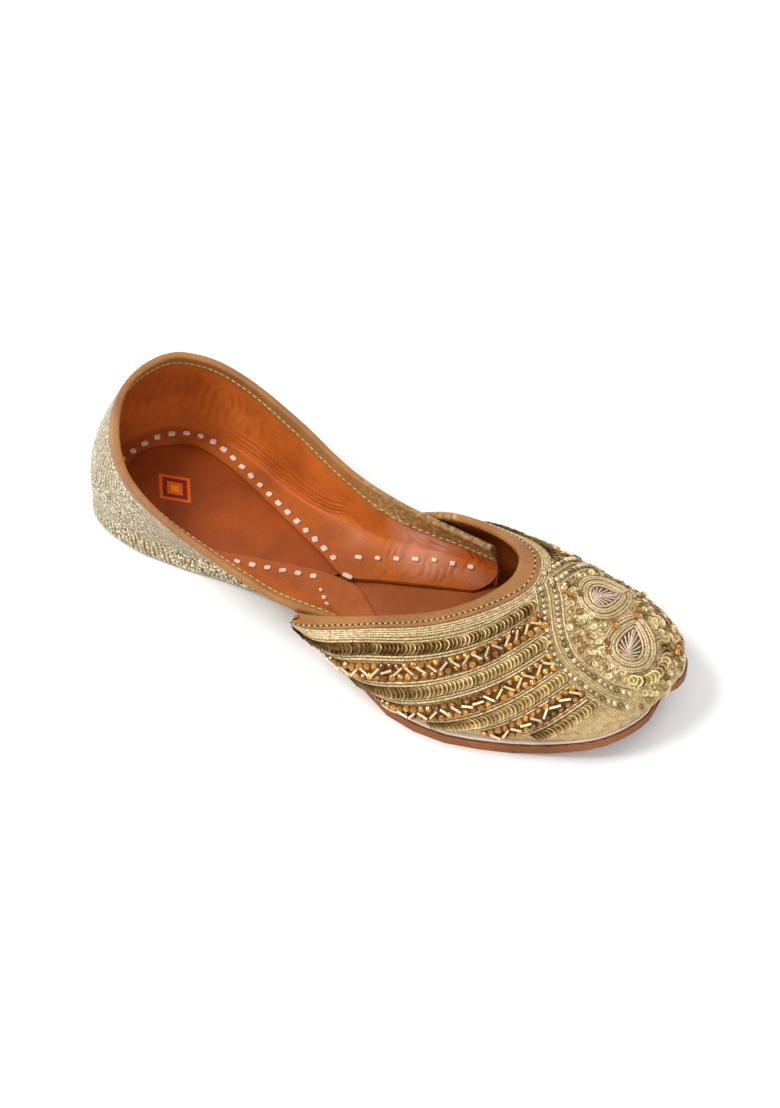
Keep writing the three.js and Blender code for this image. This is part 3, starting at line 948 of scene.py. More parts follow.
def make_quarter_lining():
    shades = []

    def inner(a, b):
        place = a * QUARTER.last
        height = QUARTER.height(place)
        down = UNDER_BINDING + b * (height - UNDER_BINDING)
        point, normal, _ = QUARTER.at(place, down)
        point = point - normal * QUARTER_WALL
        relief = lining_relief(place, down, height, point)
        # painted shade in the lining's creases, kept for its finish
        shades.append(painted_crease_shade(relief))
        point -= normal * relief
        point.z = max(point.z, QUARTER.surface(place, height).z)
        return point

    piece = laid_grid("quarter_lining", 500, 64, inner, flip=True)
    mark_painted_shade(piece, shades)
    thicken(piece, SKIN)
    return dress(piece, "lining", "lining_leather")


# ---- the turned-in flange at the foot of the quarter ---------------------------------------------
# place along the quarter, then x and y of the flange's free edge, and how far it is lifted
FLANGE_EDGE = [
    (0, 152, -32, 0.2), (1, 141, -25, 0.2), (2, 129, -16.6, 0.2), (3, 118.5, -9.5, 0.1),
    (4, 111, -9.4, 0.3), (5, 98, -11, 0.2), (6, 76, -16.3, 0.3), (7, 54, -22, 0.3), (8, 30, -22, 0.3),
    (9, 10.5, -11, 0.3), (10, 5.5, 2, 0.3), (11, 8.8, 12.5, 0.35), (12, 23, 22, 0.45),
    (13, 42, 19.3, 0.45), (14, 66, 10.6, 0.45), (15, 84, 3.3, 0.45), (16, 98, -2.6, 0.4),
    (17, 110.5, -7.6, 0.5), (18, 125, -1.6, 1.4), (19, 142, 5.3, 1.2), (20, 158, 11.8, 0.5),
]
FLANGE_THICK = 1.1
FLANGE_CLIMB = 4.5  # how far the flange's leather climbs the wall before it joins the lining


def flange_top(x):
    """The flange lies on the heel pad, and past the pad's point on the insole."""
    under = PAD_TOP + (INSOLE_TOP - PAD_TOP) * smooth_step(102, 122, x)
    return sole_top(x) + under + FLANGE_THICK


def flange_point(place, b):
    """A point of the flange, from the wall (b = 0) round to its free edge (b = 1)."""
    height = QUARTER.height(place)
    soft = smooth_step(14, 17, place)
    pull = 0.92 - 0.32 * soft
    wall, normal, _ = QUARTER.at(place, height - FLANGE_CLIMB - 4 * soft)
    wall = wall - normal * (QUARTER_WALL - 0.25)
    foot, foot_normal, _ = QUARTER.at(place, height - 0.6)
    foot = foot - foot_normal * QUARTER_WALL
    edge = Vector((along_rows(FLANGE_EDGE, place, 1), along_rows(FLANGE_EDGE, place, 2), 0))
    edge.z = flange_top(edge.x) + along_rows(FLANGE_EDGE, place, 3)
    corner = foot.copy()
    corner.z = flange_top(foot.x)
    first = wall.lerp(corner, pull)
    second = edge.lerp(corner, pull)
    second.z = corner.z
    point = bezier((wall, first, second, edge), b)
    point.z += 0.12 * soft_noise(point, 0.22) * math.sin(math.pi * b)
    return point


def make_flange():
    shades = []

    def strip(a, b):
        place = a * QUARTER.last
        point = flange_point(place, b)
        front = smooth_step(16.9, 18, place)
        broken = smooth_step(-0.3, 0.3, soft_noise(point + Vector((0, 60, 0)), 0.16))
        fold_and_painted_shade = front * broken * fine_fold(wing_fan(place, 1 + 0.4 * b, point)) * smooth_step(1, 0.75, b)
        # painted shade: the flange darker towards its free edge and in the wing's wrinkles
        shades.append(0.52 * smooth_step(0.05, 0.5, b) + 0.45 * fold_and_painted_shade)
        return point - Vector((0, 0, 0.5 * fold_and_painted_shade))

    piece = laid_grid("lining_flange", 520, 20, strip, flip=True)
    mark_painted_shade(piece, shades)
    thicken(piece, FLANGE_THICK)
    return dress(piece, "lining", "lining_leather")


# ---- sole, rand, insole and heel pad: fine copies of their solids ----------------------------------
FLAT_UNDER = math.radians(60)


def fine_copy(node, name, bevel):
    """A copy of a solid with its corners merged and its edges rounded."""
    piece = bpy.data.objects.new(name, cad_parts[node].data.copy())
    bpy.context.scene.collection.objects.link(piece)
    select_only(piece)
    bpy.ops.object.mode_set(mode="EDIT")
    bpy.ops.mesh.select_all(action="SELECT")
    bpy.ops.mesh.remove_doubles(threshold=0.01 * MM)
    bpy.ops.mesh.tris_convert_to_quads(face_threshold=FLAT_UNDER, shape_threshold=FLAT_UNDER)
    bpy.ops.object.mode_set(mode="OBJECT")
    use_modifier(piece, "BEVEL", width=bevel * MM, segments=3, limit_method="ANGLE",
                 angle_limit=math.radians(40))
    select_only(piece)
    bpy.ops.object.shade_smooth_by_angle(angle=SMOOTH_UNDER)
    return piece


def make_bottom():
    dress(fine_copy("outsole", "outsole_leather", 0.7), "sole", "sole_leather", "outsole")
    dress(fine_copy("rand", "rand_strip", 0.35), "rand", "rand_leather", "rand")
    dress(fine_copy("insole", "insole_board", 0.4), "insole", "lining_leather", "insole")
    dress(fine_copy("heel_pad", "heel_sock", 0.4), "pad", "lining_leather", "heel_pad")


# ---- things that are modelled once and copied -----------------------------------------------------
def small_model():
    """Takes the object just modelled as bare vertices and faces, and removes it."""
    piece = bpy.context.object
    vertices = [v.co.copy() for v in piece.data.vertices]
    faces = [tuple(p.vertices) for p in piece.data.polygons]
    bpy.data.objects.remove(piece)
    return vertices, faces


def model_sequin():
    """A cupped disc with a hole and a radius of 1, open side up."""
    bpy.ops.object.select_all(action="DESELECT")
    bpy.ops.mesh.primitive_circle_add(vertices=14, radius=1, fill_type="NOTHING")
    bpy.ops.object.mode_set(mode="EDIT")
    last = 1
    for size, drop in ((0.92, 0.05), (0.6, -0.16), (0.28, -0.22)):
        bpy.ops.mesh.extrude_region_move(TRANSFORM_OT_translate={"value": (0, 0, drop)})
        bpy.ops.transform.resize(value=(size / last, size / last, 1))
        last = size
    bpy.ops.mesh.select_all(action="SELECT")
    bpy.ops.mesh.normals_make_consistent(inside=False)
    bpy.ops.object.mode_set(mode="OBJECT")
    return small_model()


def model_bead(segments, rings, squash):
    """A ball, a little flattened: with few segments and flat shading it is a cut bead."""
    bpy.ops.object.select_all(action="DESELECT")
    bpy.ops.mesh.primitive_uv_sphere_add(segments=segments, ring_count=rings, radius=1)
    bpy.ops.object.mode_set(mode="EDIT")
    bpy.ops.transform.resize(value=(1, 1, squash))
    bpy.ops.object.mode_set(mode="OBJECT")
    return small_model()


def model_facet_bead():
    return model_bead(8, 5, 0.82)


def model_round_bead():
    return model_bead(10, 7, 0.9)


def model_bugle():
    """A short cut tube, lying along x, 1 long each way from its middle."""
    bpy.ops.object.select_all(action="DESELECT")
    bpy.ops.mesh.primitive_cylinder_add(vertices=6, radius=1, depth=2, rotation=(0, math.pi / 2, 0))
    bpy.ops.object.transform_apply(rotation=True)
    return small_model()


def model_thong():
    """One visible loop of a flat thong: a soft block that dips into the leather at its ends."""
    bpy.ops.object.select_all(action="DESELECT")
    bpy.ops.mesh.primitive_cube_add(size=2)
    bpy.ops.object.mode_set(mode="EDIT")
    bpy.ops.mesh.select_all(action="SELECT")
    bpy.ops.mesh.bevel(offset=0.55, segments=3, affect="EDGES")
    bpy.ops.object.mode_set(mode="OBJECT")
    return small_model()


def copies(name, model, spots, smooth, finish, slot=WORK):
    """Joins a copy of the model at each spot: (point, x axis, z axis, half its sizes, tone)."""
    vertices, faces, tones = [], [], []
    for point, x_axis, z_axis, sizes, tone in spots:
        z_axis = z_axis.normalized()
        y_axis = z_axis.cross(x_axis).normalized()
        x_axis = y_axis.cross(z_axis)
        first = len(vertices)
        for corner in model[0]:
            place = point + x_axis * (corner.x * sizes[0]) + y_axis * (corner.y * sizes[1])
            vertices.append(metres(place + z_axis * (corner.z * sizes[2])))
        faces += [tuple(first + i for i in face) for face in model[1]]
        tones += [tone] * len(model[0])
    return joined(name, vertices, faces, tones, smooth, finish, slot)


def joined(name, vertices, faces, tones, smooth, finish, slot):
    mesh = bpy.data.meshes.new(name)
    mesh.from_pydata(vertices, [], faces)
    mesh.attributes.new("tone", "FLOAT", "POINT").data.foreach_set("value", tones)
    mesh.polygons.foreach_set("use_smooth", [smooth] * len(mesh.polygons))
    piece = bpy.data.objects.new(name, mesh)
    bpy.context.scene.collection.objects.link(piece)
    return dress(piece, finish, slot)


CORD_SIDES = 6
CORD_STEP = 0.5
CORD_TURNS = (0.82, 1.12)  # a coiled cord swells and narrows by these from point to point
CORD_FLAT = 0.85
CORD_LIFT = 0.55  # the share of its radius by which a cord's middle stands over the cloth


def cords(name, lines, radius, finish):
    """Coiled metal cords: each line is a list of (point, normal) on the cloth."""
    vertices, faces = [], []
    for line in lines:
        first = len(vertices)
        count = len(line)
        for i, (point, normal) in enumerate(line):
            ahead = line[min(i + 1, count - 1)][0] - line[max(i - 1, 0)][0]
            along = ahead.normalized() if ahead.length > 0 else Vector((1, 0, 0))
            side = along.cross(normal).normalized()
            swell = radius * CORD_TURNS[i % 2]
            if i in (0, count - 1):
                swell *= 0.4
            for k in range(CORD_SIDES):
                angle = 2 * math.pi * (k + 0.5 * (i % 2)) / CORD_SIDES
                reach = side * math.cos(angle) + normal * (math.sin(angle) * CORD_FLAT + CORD_LIFT)
                vertices.append(metres(point + reach * swell))
        for i in range(count - 1):
            for k in range(CORD_SIDES):
                a = first + i * CORD_SIDES + k
                b = first + i * CORD_SIDES + (k + 1) % CORD_SIDES
                faces.append((a, b, b + CORD_SIDES, a + CORD_SIDES))
        faces.append(tuple(first + k for k in reversed(range(CORD_SIDES))))
        faces.append(tuple(first + (count - 1) * CORD_SIDES + k for k in range(CORD_SIDES)))
    return joined(name, vertices, faces, [MIDDLE_TONE] * len(vertices), True, finish, WORK)


# ---- the vamp's embroidery ---------------------------------------------------------------------
# Rows of work run from each ear towards the middle. Each is a distance down from the throat's
# edge: by the ear and where it meets the double row of beads. The row stops above the margin.
MARGIN = 3.5
NEAR_EAR = 11.9
FAR_EAR = 0.12
BANDS = [  # kind, middle by the ear, middle at the front, where the near and the far one end
    ("sequins", 14.6, 13.8, 6.6, 4.9),
    ("beads", 23.2, 20.4, 6.68, 4.5),
    ("sequins", 31.2, 28, 7.02, 4.1),
    ("beads", 39.6, 36, 7.12, 3.9),
    ("sequins", 46.8, 43.2, 7.16, 3.8),
    ("beads", 54.0, 50.4, 7.06, 3.75),
    ("sequins", 60.2, 58.2, 7.02, 3.8),
]
# cords between the rows: by the ear, at the front, and their two ends
BAND_CORDS = [
    (11.1, 10.8, 6.5, 4.95), (18.2, 16.8, 6.6, 4.7), (28, 24.4, 6.85, 4.3), (34.6, 31.6, 7.08, 4),
    (43.6, 39.7, 7.14, 3.85), (50.2, 46.7, 7.12, 3.75), (57.6, 54.6, 7.04, 3.8),
]
SEQUIN_TONES = (0.2, 0, 0.5, 0, 0.62, 0, 0.6)  # how bright each row of sequins is, 0 for beads
ZARI_ROWS = (0.9, 1.9, 2.9, 3.9)  # distances below the binding
BAND_STEPS = 90
ZARI_STEPS = 420
SEQUIN_PITCH, SEQUIN_SIZE, SEQUIN_TILT = 1.6, 2.3, 33
BEAD_PITCH, BEAD_SIZE, BEAD_SWAY = 1.5, 1.55, 1.95
BUGLE_PITCH, BUGLE_SIZE, BUGLE_LEAN = 4.3, (2.15, 0.5, 0.5), 0.9
CORD_ASIDE = 0.62  # half the distance between the two cords of a pair
# the strips of painted shade under the bands: their pitch, lift over the cloth and half widths
SHADE_STRIP_PITCH, SHADE_STRIP_OVER = 1.2, 0.28
SHADE_STRIP_HALF = {"beads": 3.1, "sequins": 2.1}


def band_depth(ear, front, near, place):
    """How far down a band lies here: level by the ear and again at the front."""
    if near:
        share = smooth_step(9.3, 7, place)
    else:
        share = smooth_step(2.2, 4.3, place)
    return ear + (front - ear) * share


def band_line(ear, front, near, pitch, ends):
    """Evenly spaced (place, down) points along a band, from the ear to its front end."""
    start, end = (NEAR_EAR, ends[0]) if near else (FAR_EAR, ends[1])
    dense = []
    for i in range(BAND_STEPS + 1):
        place = start + (end - start) * i / BAND_STEPS
        down = band_depth(ear, front, near, place)
        if down < VAMP.height(place) - MARGIN:
            dense.append(Vector((place, down)))
    if len(dense) < 3:
        return []
    points = [VAMP.surface(p.x, p.y) for p in dense]
    lengths = [0.0]
    for a, b in zip(points, points[1:]):
        lengths.append(lengths[-1] + (b - a).length)
    count = int(lengths[-1] / pitch)
    result = []
    index = 0
    for i in range(count + 1):
        target = i * pitch
        while index < len(dense) - 2 and lengths[index + 1] < target:
            index += 1
        share = (target - lengths[index]) / (lengths[index + 1] - lengths[index])
        result.append(dense[index].lerp(dense[index + 1], clamp(share, 0, 1)))
    return result


def on_vamp(place, down, over=0.0):
    point, normal, along = VAMP.at(clamp(place, 0, VAMP.last), down)
    return point + normal * over, normal, along


def lay_sequins(dice, band, near, brightness):
    """A row of overlapping sequins, each leaning back on the one behind it."""
    _, ear, front, *ends = band
    spots = []
    for spot in band_line(ear, front, near, SEQUIN_PITCH, ends):
        point, normal, along = on_vamp(spot.x, spot.y, 1.0)
        forward = along * (-1 if near else 1)
        tilt = math.radians(SEQUIN_TILT + dice.uniform(-6, 6))
        z_axis = normal * math.cos(tilt) - forward * math.sin(tilt)
        tone = brightness + 0.3 * soft_noise(point, 0.13) + dice.uniform(-0.2, 0.2)
        size = SEQUIN_SIZE + dice.uniform(-0.08, 0.08)
        spots.append((point, forward, z_axis, (size, size, size), tone))
    return spots


def lay_beads(dice, band, near):
    """Amber beads crowded to either side of the band's middle."""
    _, ear, front, *ends = band
    spots = []
    for step, spot in enumerate(band_line(ear, front, near, BEAD_PITCH, ends)):
        sway = (BEAD_SWAY if step % 2 else -BEAD_SWAY) + dice.uniform(-0.35, 0.35)
        if spot.y + sway > VAMP.height(spot.x) - MARGIN:
            continue
        point, normal, along = on_vamp(spot.x, spot.y + sway, 0.95)
        lean = (normal + along * dice.uniform(-0.4, 0.4)).normalized()
        size = BEAD_SIZE + dice.uniform(-0.15, 0.15)
        spots.append((point, along, lean, (size, size, size), dice.random()))
    return spots


def lay_bugles(dice, band, near):
    """Bugle beads in a zigzag over the amber ones, one in four of them askew."""
    _, ear, front, *ends = band
    spots = []
    for step, spot in enumerate(band_line(ear, front, near, BUGLE_PITCH, ends)[1:]):
        point, normal, along = on_vamp(spot.x, spot.y, 2.1)
        lean = BUGLE_LEAN if step % 2 else -BUGLE_LEAN
        if dice.random() < 0.25:
            lean = dice.uniform(-1.4, 1.4)
        direction = (along + normal.cross(along) * lean).normalized()
        spots.append((point, direction, normal, BUGLE_SIZE, dice.uniform(0.4, 1)))
    return spots


def make_bands():
    dice = random.Random(SEED)
    sequins, beads, bugles, lines = [], [], [], []
    for near in (True, False):
        for band, row_tone in zip(BANDS, SEQUIN_TONES):
            if band[0] == "sequins":
                # painted highlight: the far side's sequins are painted brighter by 0.3
                sequins += lay_sequins(dice, band, near, row_tone + (0 if near else 0.3))
            else:
                beads += lay_beads(dice, band, near)
                bugles += lay_bugles(dice, band, near)
        for ear, front, *ends in BAND_CORDS:
            for aside in (-CORD_ASIDE, CORD_ASIDE):
                spots = band_line(ear + aside, front + aside, near, CORD_STEP, ends)
                if spots:
                    lines.append([on_vamp(spot.x, spot.y)[:2] for spot in spots])
    copies("scale_sequins", model_sequin(), sequins, True, "sequin")
    copies("amber_beads", model_facet_bead(), beads, False, "bead")
    copies("bugle_beads", model_bugle(), bugles, False, "bugle")
    cords("band_cords", lines, 0.56, "cord")


def make_band_shade_strips():
    """Dark strips of painted shade under the rows of beads and sequins, four points across."""
    vertices, faces = [], []
    for near in (True, False):
        for kind, ear, front, *ends in BANDS:
            half = SHADE_STRIP_HALF[kind]
            first = len(vertices)
            spots = band_line(ear, front, near, SHADE_STRIP_PITCH, ends)
            for spot in spots:
                for aside in (-half, -half / 3, half / 3, half):
                    down = min(spot.y + aside, VAMP.height(spot.x) - 2)
                    vertices.append(metres(on_vamp(spot.x, down, SHADE_STRIP_OVER)[0]))
            for i in range(len(spots) - 1):
                for k in range(3):
                    a = first + 4 * i + k
                    quad = (a, a + 1, a + 5, a + 4)
                    faces.append(quad if near else quad[::-1])
    joined("band_shade_strips", vertices, faces, [MIDDLE_TONE] * len(vertices), True, "under", WORK)


def make_zari_border():
    lines = []
    for below in ZARI_ROWS:
        dense = []
        for i in range(ZARI_STEPS + 1):
            place = FAR_EAR + (NEAR_EAR - FAR_EAR) * i / ZARI_STEPS
            down = along_rows(BINDING_SHOWS, place, 1) + below
            dense.append(on_vamp(place, down)[:2])
        lines.append(dense)
    cords("zari_border", lines, 0.5, "zari")


# The two sweeps of round beads, from the middle of the throat to the sides of the toe.
SWEEPS = [
    [(5.84, 11), (6.16, 15), (6.46, 19.6), (6.7, 25), (6.88, 32), (6.96, 40), (6.91, 49), (6.83, 58),
     (6.7, 65)],
    [(5.7, 11.5), (5.36, 14.5), (4.9, 19.5), (4.5, 26), (4.25, 33), (4.12, 40), (4.12, 48), (4.2, 55)],
]
BEADS_ASIDE = 2.45  # how far each line of beads lies from the sweep's middle
SWEEP_CORDS = (-4.6, 0, 4.6)
SWEEP_PITCH = 2.5
SWEEP_BEAD = 1.12


def sweep_line(points, aside, pitch):
    """A line beside a sweep, this far to its side over the cloth."""
    path = smooth_path([Vector((place, down, 0)) for place, down in points], 0.05)
    dense = []
    for i in range(len(path) - 1):
        here = VAMP.surface(path[i].x, path[i].y)
        ahead = VAMP.surface(path[i + 1].x, path[i + 1].y)
        if not dense or (here - dense[-1][2]).length > 0.8:
            point, normal, _ = on_vamp(path[i].x, path[i].y)
            side = (ahead - here).normalized().cross(normal)
            dense.append((point + side * aside, normal, point))
    points = even_path([p for p, _, _ in dense], pitch)
    result = []
    for point in points:
        nearest = min(dense, key=lambda spot: (spot[0] - point).length_squared)
        result.append(snap(point, nearest[1]))
    return result


def snap(point, normal):
    """The cloth's point and smooth normal straight under this one."""
    start = metres(point) + normal * 0.012
    hit, hit_normal, _, _ = CLOTH.ray_cast(start, -normal, 0.03)
    if hit is None:
        return Vector(point), normal
    return hit / MM + PATTERN_MIDDLE, hit_normal


def make_sweeps():
    dice = random.Random(SEED + 1)
    beads, lines = [], []
    for sweep in SWEEPS:
        for aside in (-BEADS_ASIDE, BEADS_ASIDE):
            for point, normal in sweep_line(sweep, aside, SWEEP_PITCH):
                size = SWEEP_BEAD + dice.uniform(-0.06, 0.06)
                place = point + normal * 0.85
                beads.append((place, Vector((1, 0, 0)), normal, (size, size, size), dice.random()))
        for aside in SWEEP_CORDS:
            lines.append(sweep_line(sweep, aside, CORD_STEP))
    copies("sweep_beads", model_round_bead(), beads, True, "round")
    cords("sweep_cords", lines, 0.55, "cord")


# ---- the two leaves on the toe -----------------------------------------------------------------
# place and down of the leaf's middle, its half length and half width, its turn, and its swirl
LEAVES = [
    (6.12, 50.8, 7.0, 5.1, math.radians(106), 0.0),
    (5.5, 34.4, 6.1, 4.9, math.radians(38), 0.9),
]
LEAF_RINGS = (0.3, 1.75, 2.7, 4.2, 5.15)  # how far each outline lies outside the leaf
LEAF_VEINS = 7
LEAF_STEPS = 72
LEAF_COVERS = 0.93  # the second leaf's rings stop where they are this near the first leaf's middle
SHORTEST_RUN = 8


def leaf_frame(leaf):
    place, down = leaf[0], leaf[1]
    point, normal, _ = on_vamp(place, down)
    forward = Vector((1, 0, 0))
    forward = (forward - normal * forward.dot(normal)).normalized()
    return point, normal, forward, normal.cross(forward)


def on_leaf(leaf, x, y):
    """A point of the leaf's own drawing, laid on the cloth."""
    middle, normal, forward, left = leaf_frame(leaf)
    turn = leaf[4] + leaf[5] * 0.035 * math.hypot(x, y)
    east = x * math.cos(turn) - y * math.sin(turn)
    north = x * math.sin(turn) + y * math.cos(turn)
    return snap(middle + forward * east + left * north, normal)


def leaf_outline(leaf, outside, count):
    """A drop shape, pointed at +x and rounder the further out it lies."""
    length, width = leaf[2] + outside, leaf[3] + outside
    point = 1.1 - 0.13 * outside
    for i in range(count):
        angle = 2 * math.pi * i / (count - 1)
        slim = abs(math.sin(angle / 2)) ** point * (1 + 0.23 * point)
        yield length * math.cos(angle), width * math.sin(angle) * slim


def leaf_edge(leaf, angle, share):
    """A point on the leaf's outline, drawn in to this share of its size."""
    slim = abs(math.sin(angle / 2)) ** 1.1 * 1.25
    return share * leaf[2] * math.cos(angle), share * leaf[3] * math.sin(angle) * slim


def make_leaf_shade_sheets():
    """Dark sheets of painted shade that show between the leaves' threads."""
    vertices, faces = [], []
    count = 40
    for leaf in LEAVES:
        first = len(vertices)
        for ring in (0.02, 0.35, 0.7, 1):
            for i in range(count):
                x, y = leaf_edge(leaf, 2 * math.pi * i / count, ring)
                point, normal = on_leaf(leaf, x, y)
                vertices.append(metres(point + normal * 0.12))
        for ring in range(3):
            for i in range(count):
                a = first + ring * count + i
                b = first + ring * count + (i + 1) % count
                faces.append((a, a + count, b + count, b))
    joined("leaf_shade_sheets", vertices, faces, [MIDDLE_TONE] * len(vertices), True, "shade", WORK)


def open_part(outline):
    """The part of a closed outline that the first leaf leaves free, from one crossing to the next."""
    run = []
    for spot in outline + outline[1:]:
        if leaf_reach(LEAVES[0], spot[0]) >= LEAF_COVERS:
            run.append(spot)
        elif len(run) > SHORTEST_RUN:
            return run
        else:
            run = []
    return run[:len(outline)]


def vein_line(leaf, side, share):
    """A bowed vein from the leaf's spine to its edge; share counts from the stalk to the point."""
    root = leaf[2] * (-0.9 + 0.5 * share)
    tip_x, tip_y = leaf_edge(leaf, math.radians(152 - 122 * share), 0.94)
    vein = []
    for step in range(9):
        t = step / 8
        bow = 0.55 * math.sin(math.pi * t) * (1 - share)
        vein.append(on_leaf(leaf, root + (tip_x - root) * t, side * (tip_y * t + bow)))
    return refine(vein, CORD_STEP)


def make_leaves():
    rings, veins = [], []
    for leaf in LEAVES:
        for outside in LEAF_RINGS:
            outline = [on_leaf(leaf, x, y) for x, y in leaf_outline(leaf, outside, LEAF_STEPS)]
            if leaf is not LEAVES[0]:
                outline = open_part(outline)
            rings.append(refine(outline, CORD_STEP))
        spine = [on_leaf(leaf, x, 0.2 * math.sin(x * 0.5)) for x in steps_between(-0.9, 0.88, 24, leaf[2])]
        veins.append(refine(spine, CORD_STEP))
        for side in (-1, 1):
            veins += [vein_line(leaf, side, index / (LEAF_VEINS - 1)) for index in range(LEAF_VEINS)]
    cords("leaf_rings", rings, 0.56, "zari")
    cords("leaf_veins", veins, 0.36, "silver")


def steps_between(low, high, count, size):
    """Even values between two shares of a size."""
    return [size * (low + (high - low) * i / (count - 1)) for i in range(count)]


def refine(line, pitch):
    """The same line at a finer, even pitch; each point keeps its nearest normal."""
    points = even_path([point for point, _ in line], pitch)
    result = []
    for point in points:
        nearest = min(line, key=lambda spot: (spot[0] - point).length_squared)
        result.append((point, nearest[1]))
    return result


# ---- the filling of the toe ----------------------------------------------------------------------
def clear_of(point, others, gap):
    return all((point - other).length > gap for other in others)


TOE_AMBERS = [  # place and down of the amber clusters
    (5.9, 67), (5.7, 68.5), (5.75, 20.5), (5.62, 24), (5.95, 41.5), (5.6, 47.5), (4.8, 52), (6.4, 44.5),
]
TOE_SCALES = [  # the curve of overlapping sequins
    (5.88, 59.4), (5.9, 62.3), (6.0, 64.9), (6.17, 65.8), (6.34, 65.2), (6.47, 63), (6.52, 60.5),
]
TOE_SCALE_PITCH = 1.9
TOE_SCALE_TILT = math.radians(34)
TOE_SCALE_SIZE = (2.1, 2.1, 2.1)
AMBER_GAP = 1.9
AMBER_SIZE = (1.4, 1.4, 1.35)
RING_TRIES = 9000
RING_GAP = 1.75
SEAM_GAP = 5.7


def lay_toe_ambers(dice, taken):
    """Up to three cut beads by each cluster's place."""
    spots = []
    for place, down in TOE_AMBERS:
        for _ in range(3):
            point, normal, along = on_vamp(place + dice.uniform(-0.12, 0.12), down + dice.uniform(-1.6, 1.6))
            if clear_of(point, taken, AMBER_GAP):
                taken.append(point)
                spots.append((point + normal * 0.9, along, normal, AMBER_SIZE, dice.random()))
    return spots


def lay_toe_scales(dice, taken):
    """Overlapping sequins in a curve round the first leaf's foot."""
    spots = []
    middle = on_vamp(LEAVES[0][0], LEAVES[0][1])[0]
    path = smooth_path([Vector((place, down, 0)) for place, down in TOE_SCALES], 0.05)
    for point in even_path([VAMP.surface(spot.x, spot.y) for spot in path], TOE_SCALE_PITCH):
        nearest = min(path, key=lambda spot: (VAMP.surface(spot.x, spot.y) - point).length_squared)
        normal = on_vamp(nearest.x, nearest.y)[1]
        turn = (middle - point).normalized().cross(normal)
        z_axis = normal * math.cos(TOE_SCALE_TILT) - turn * math.sin(TOE_SCALE_TILT)
        taken.append(point)
        spots.append((point + normal, turn, z_axis, TOE_SCALE_SIZE, dice.uniform(0.1, 0.65)))
    return spots


def lay_rings(dice, taken):
    """Small ring sequins wherever there is room between the sweeps and the leaves."""
    seams = [point for sweep in SWEEPS for point, _ in sweep_line(sweep, 0, 1.5)]
    spots = []
    for _ in range(RING_TRIES):
        place = dice.uniform(4.1, 6.9)
        down = dice.uniform(14, VAMP.height(place) - MARGIN - 1)
        left, right = sweep_places(down)
        if not left < place < right:
            continue
        point, normal, along = on_vamp(place, down)
        inside = any(leaf_reach(leaf, point) < 0.94 for leaf in LEAVES)
        if inside or not clear_of(point, taken, RING_GAP) or not clear_of(point, seams, SEAM_GAP):
            continue
        taken.append(point)
        lean = (normal + Vector((dice.uniform(-1, 1), dice.uniform(-1, 1), 0)) * 0.35).normalized()
        size = dice.uniform(1.2, 1.45)
        place = point + normal * dice.uniform(0.4, 0.7)
        spots.append((place, along, lean, (size, size, size), dice.random()))
    return spots


def make_toe_filling():
    dice = random.Random(SEED + 2)
    taken = []
    ambers = lay_toe_ambers(dice, taken)
    scales = lay_toe_scales(dice, taken)
    rings = lay_rings(dice, taken)
    copies("ring_sequins", model_sequin(), rings, True, "ring")
    copies("toe_scales", model_sequin(), scales, True, "sequin")
    copies("toe_ambers", model_facet_bead(), ambers, False, "bead")


def sweep_places(down):
    """The places of the far and the near sweep at this depth."""
    result = []
    for sweep in reversed(SWEEPS):
        rows = [(d, p) for p, d in sweep]
        result.append(along_rows(rows, clamp(down, rows[0][0], rows[-1][0]), 1))
    return result


def leaf_reach(leaf, point):
    """How many leaf sizes this point is from the leaf's middle."""
    middle, normal, forward, left = leaf_frame(leaf)
    offset = point - middle
    east, north = offset.dot(forward), offset.dot(left)
    x = east * math.cos(-leaf[4]) - north * math.sin(-leaf[4])
    y = east * math.sin(-leaf[4]) + north * math.cos(-leaf[4])
    reach = LEAF_RINGS[-1] + 1.4
    return math.hypot(x / (leaf[2] + reach), y / (leaf[3] + reach))


# ---- stitches and thongs ---------------------------------------------------------------------------
THROAT_PITCH = 2.2
COLLAR_PITCH = 2.7


def make_throat_stitches():
    threads, holes = [], []
    place = FAR_EAR
    while place < NEAR_EAR:
        down = along_rows(BINDING_SHOWS, place, 1) - 1.9
        point, normal, along = VAMP.at(place, down)
        point = point + normal * PROUD
        threads.append((point, along, normal, (0.5, 0.28, 0.22), 0.7))
        half = along * (THROAT_PITCH / 2)
        holes.append((point + half, along, normal, (0.72, 0.34, 0.13), MIDDLE_TONE))
        place += THROAT_PITCH / place_length(VAMP, place)
    copies("throat_stitches", model_bugle(), threads, True, "stitch", "binding_leather")
    copies("throat_holes", model_round_bead(), holes, True, "hole", "binding_leather")


def place_length(wall, place):
    """How long one pattern row is here, near the wall's top."""
    step = 0.05
    low, high = max(0, place - step), min(wall.last, place + step)
    return (wall.surface(high, 4) - wall.surface(low, 4)).length / (high - low)


def make_collar_stitches():
    threads = []
    place = 0.1
    while place < QUARTER.last - 0.1:
        down = along_rows(COLLAR_INSIDE, place, 1) - 1.3
        point, normal, along = QUARTER.at(place, down)
        point = point - normal * (QUARTER_WALL + PROUD)
        threads.append((point, along, -normal, (0.98, 0.27, 0.24), 0.7))
        place += COLLAR_PITCH / place_length(QUARTER, place)
    copies("collar_stitches", model_bugle(), threads, True, "stitch", "binding_leather")


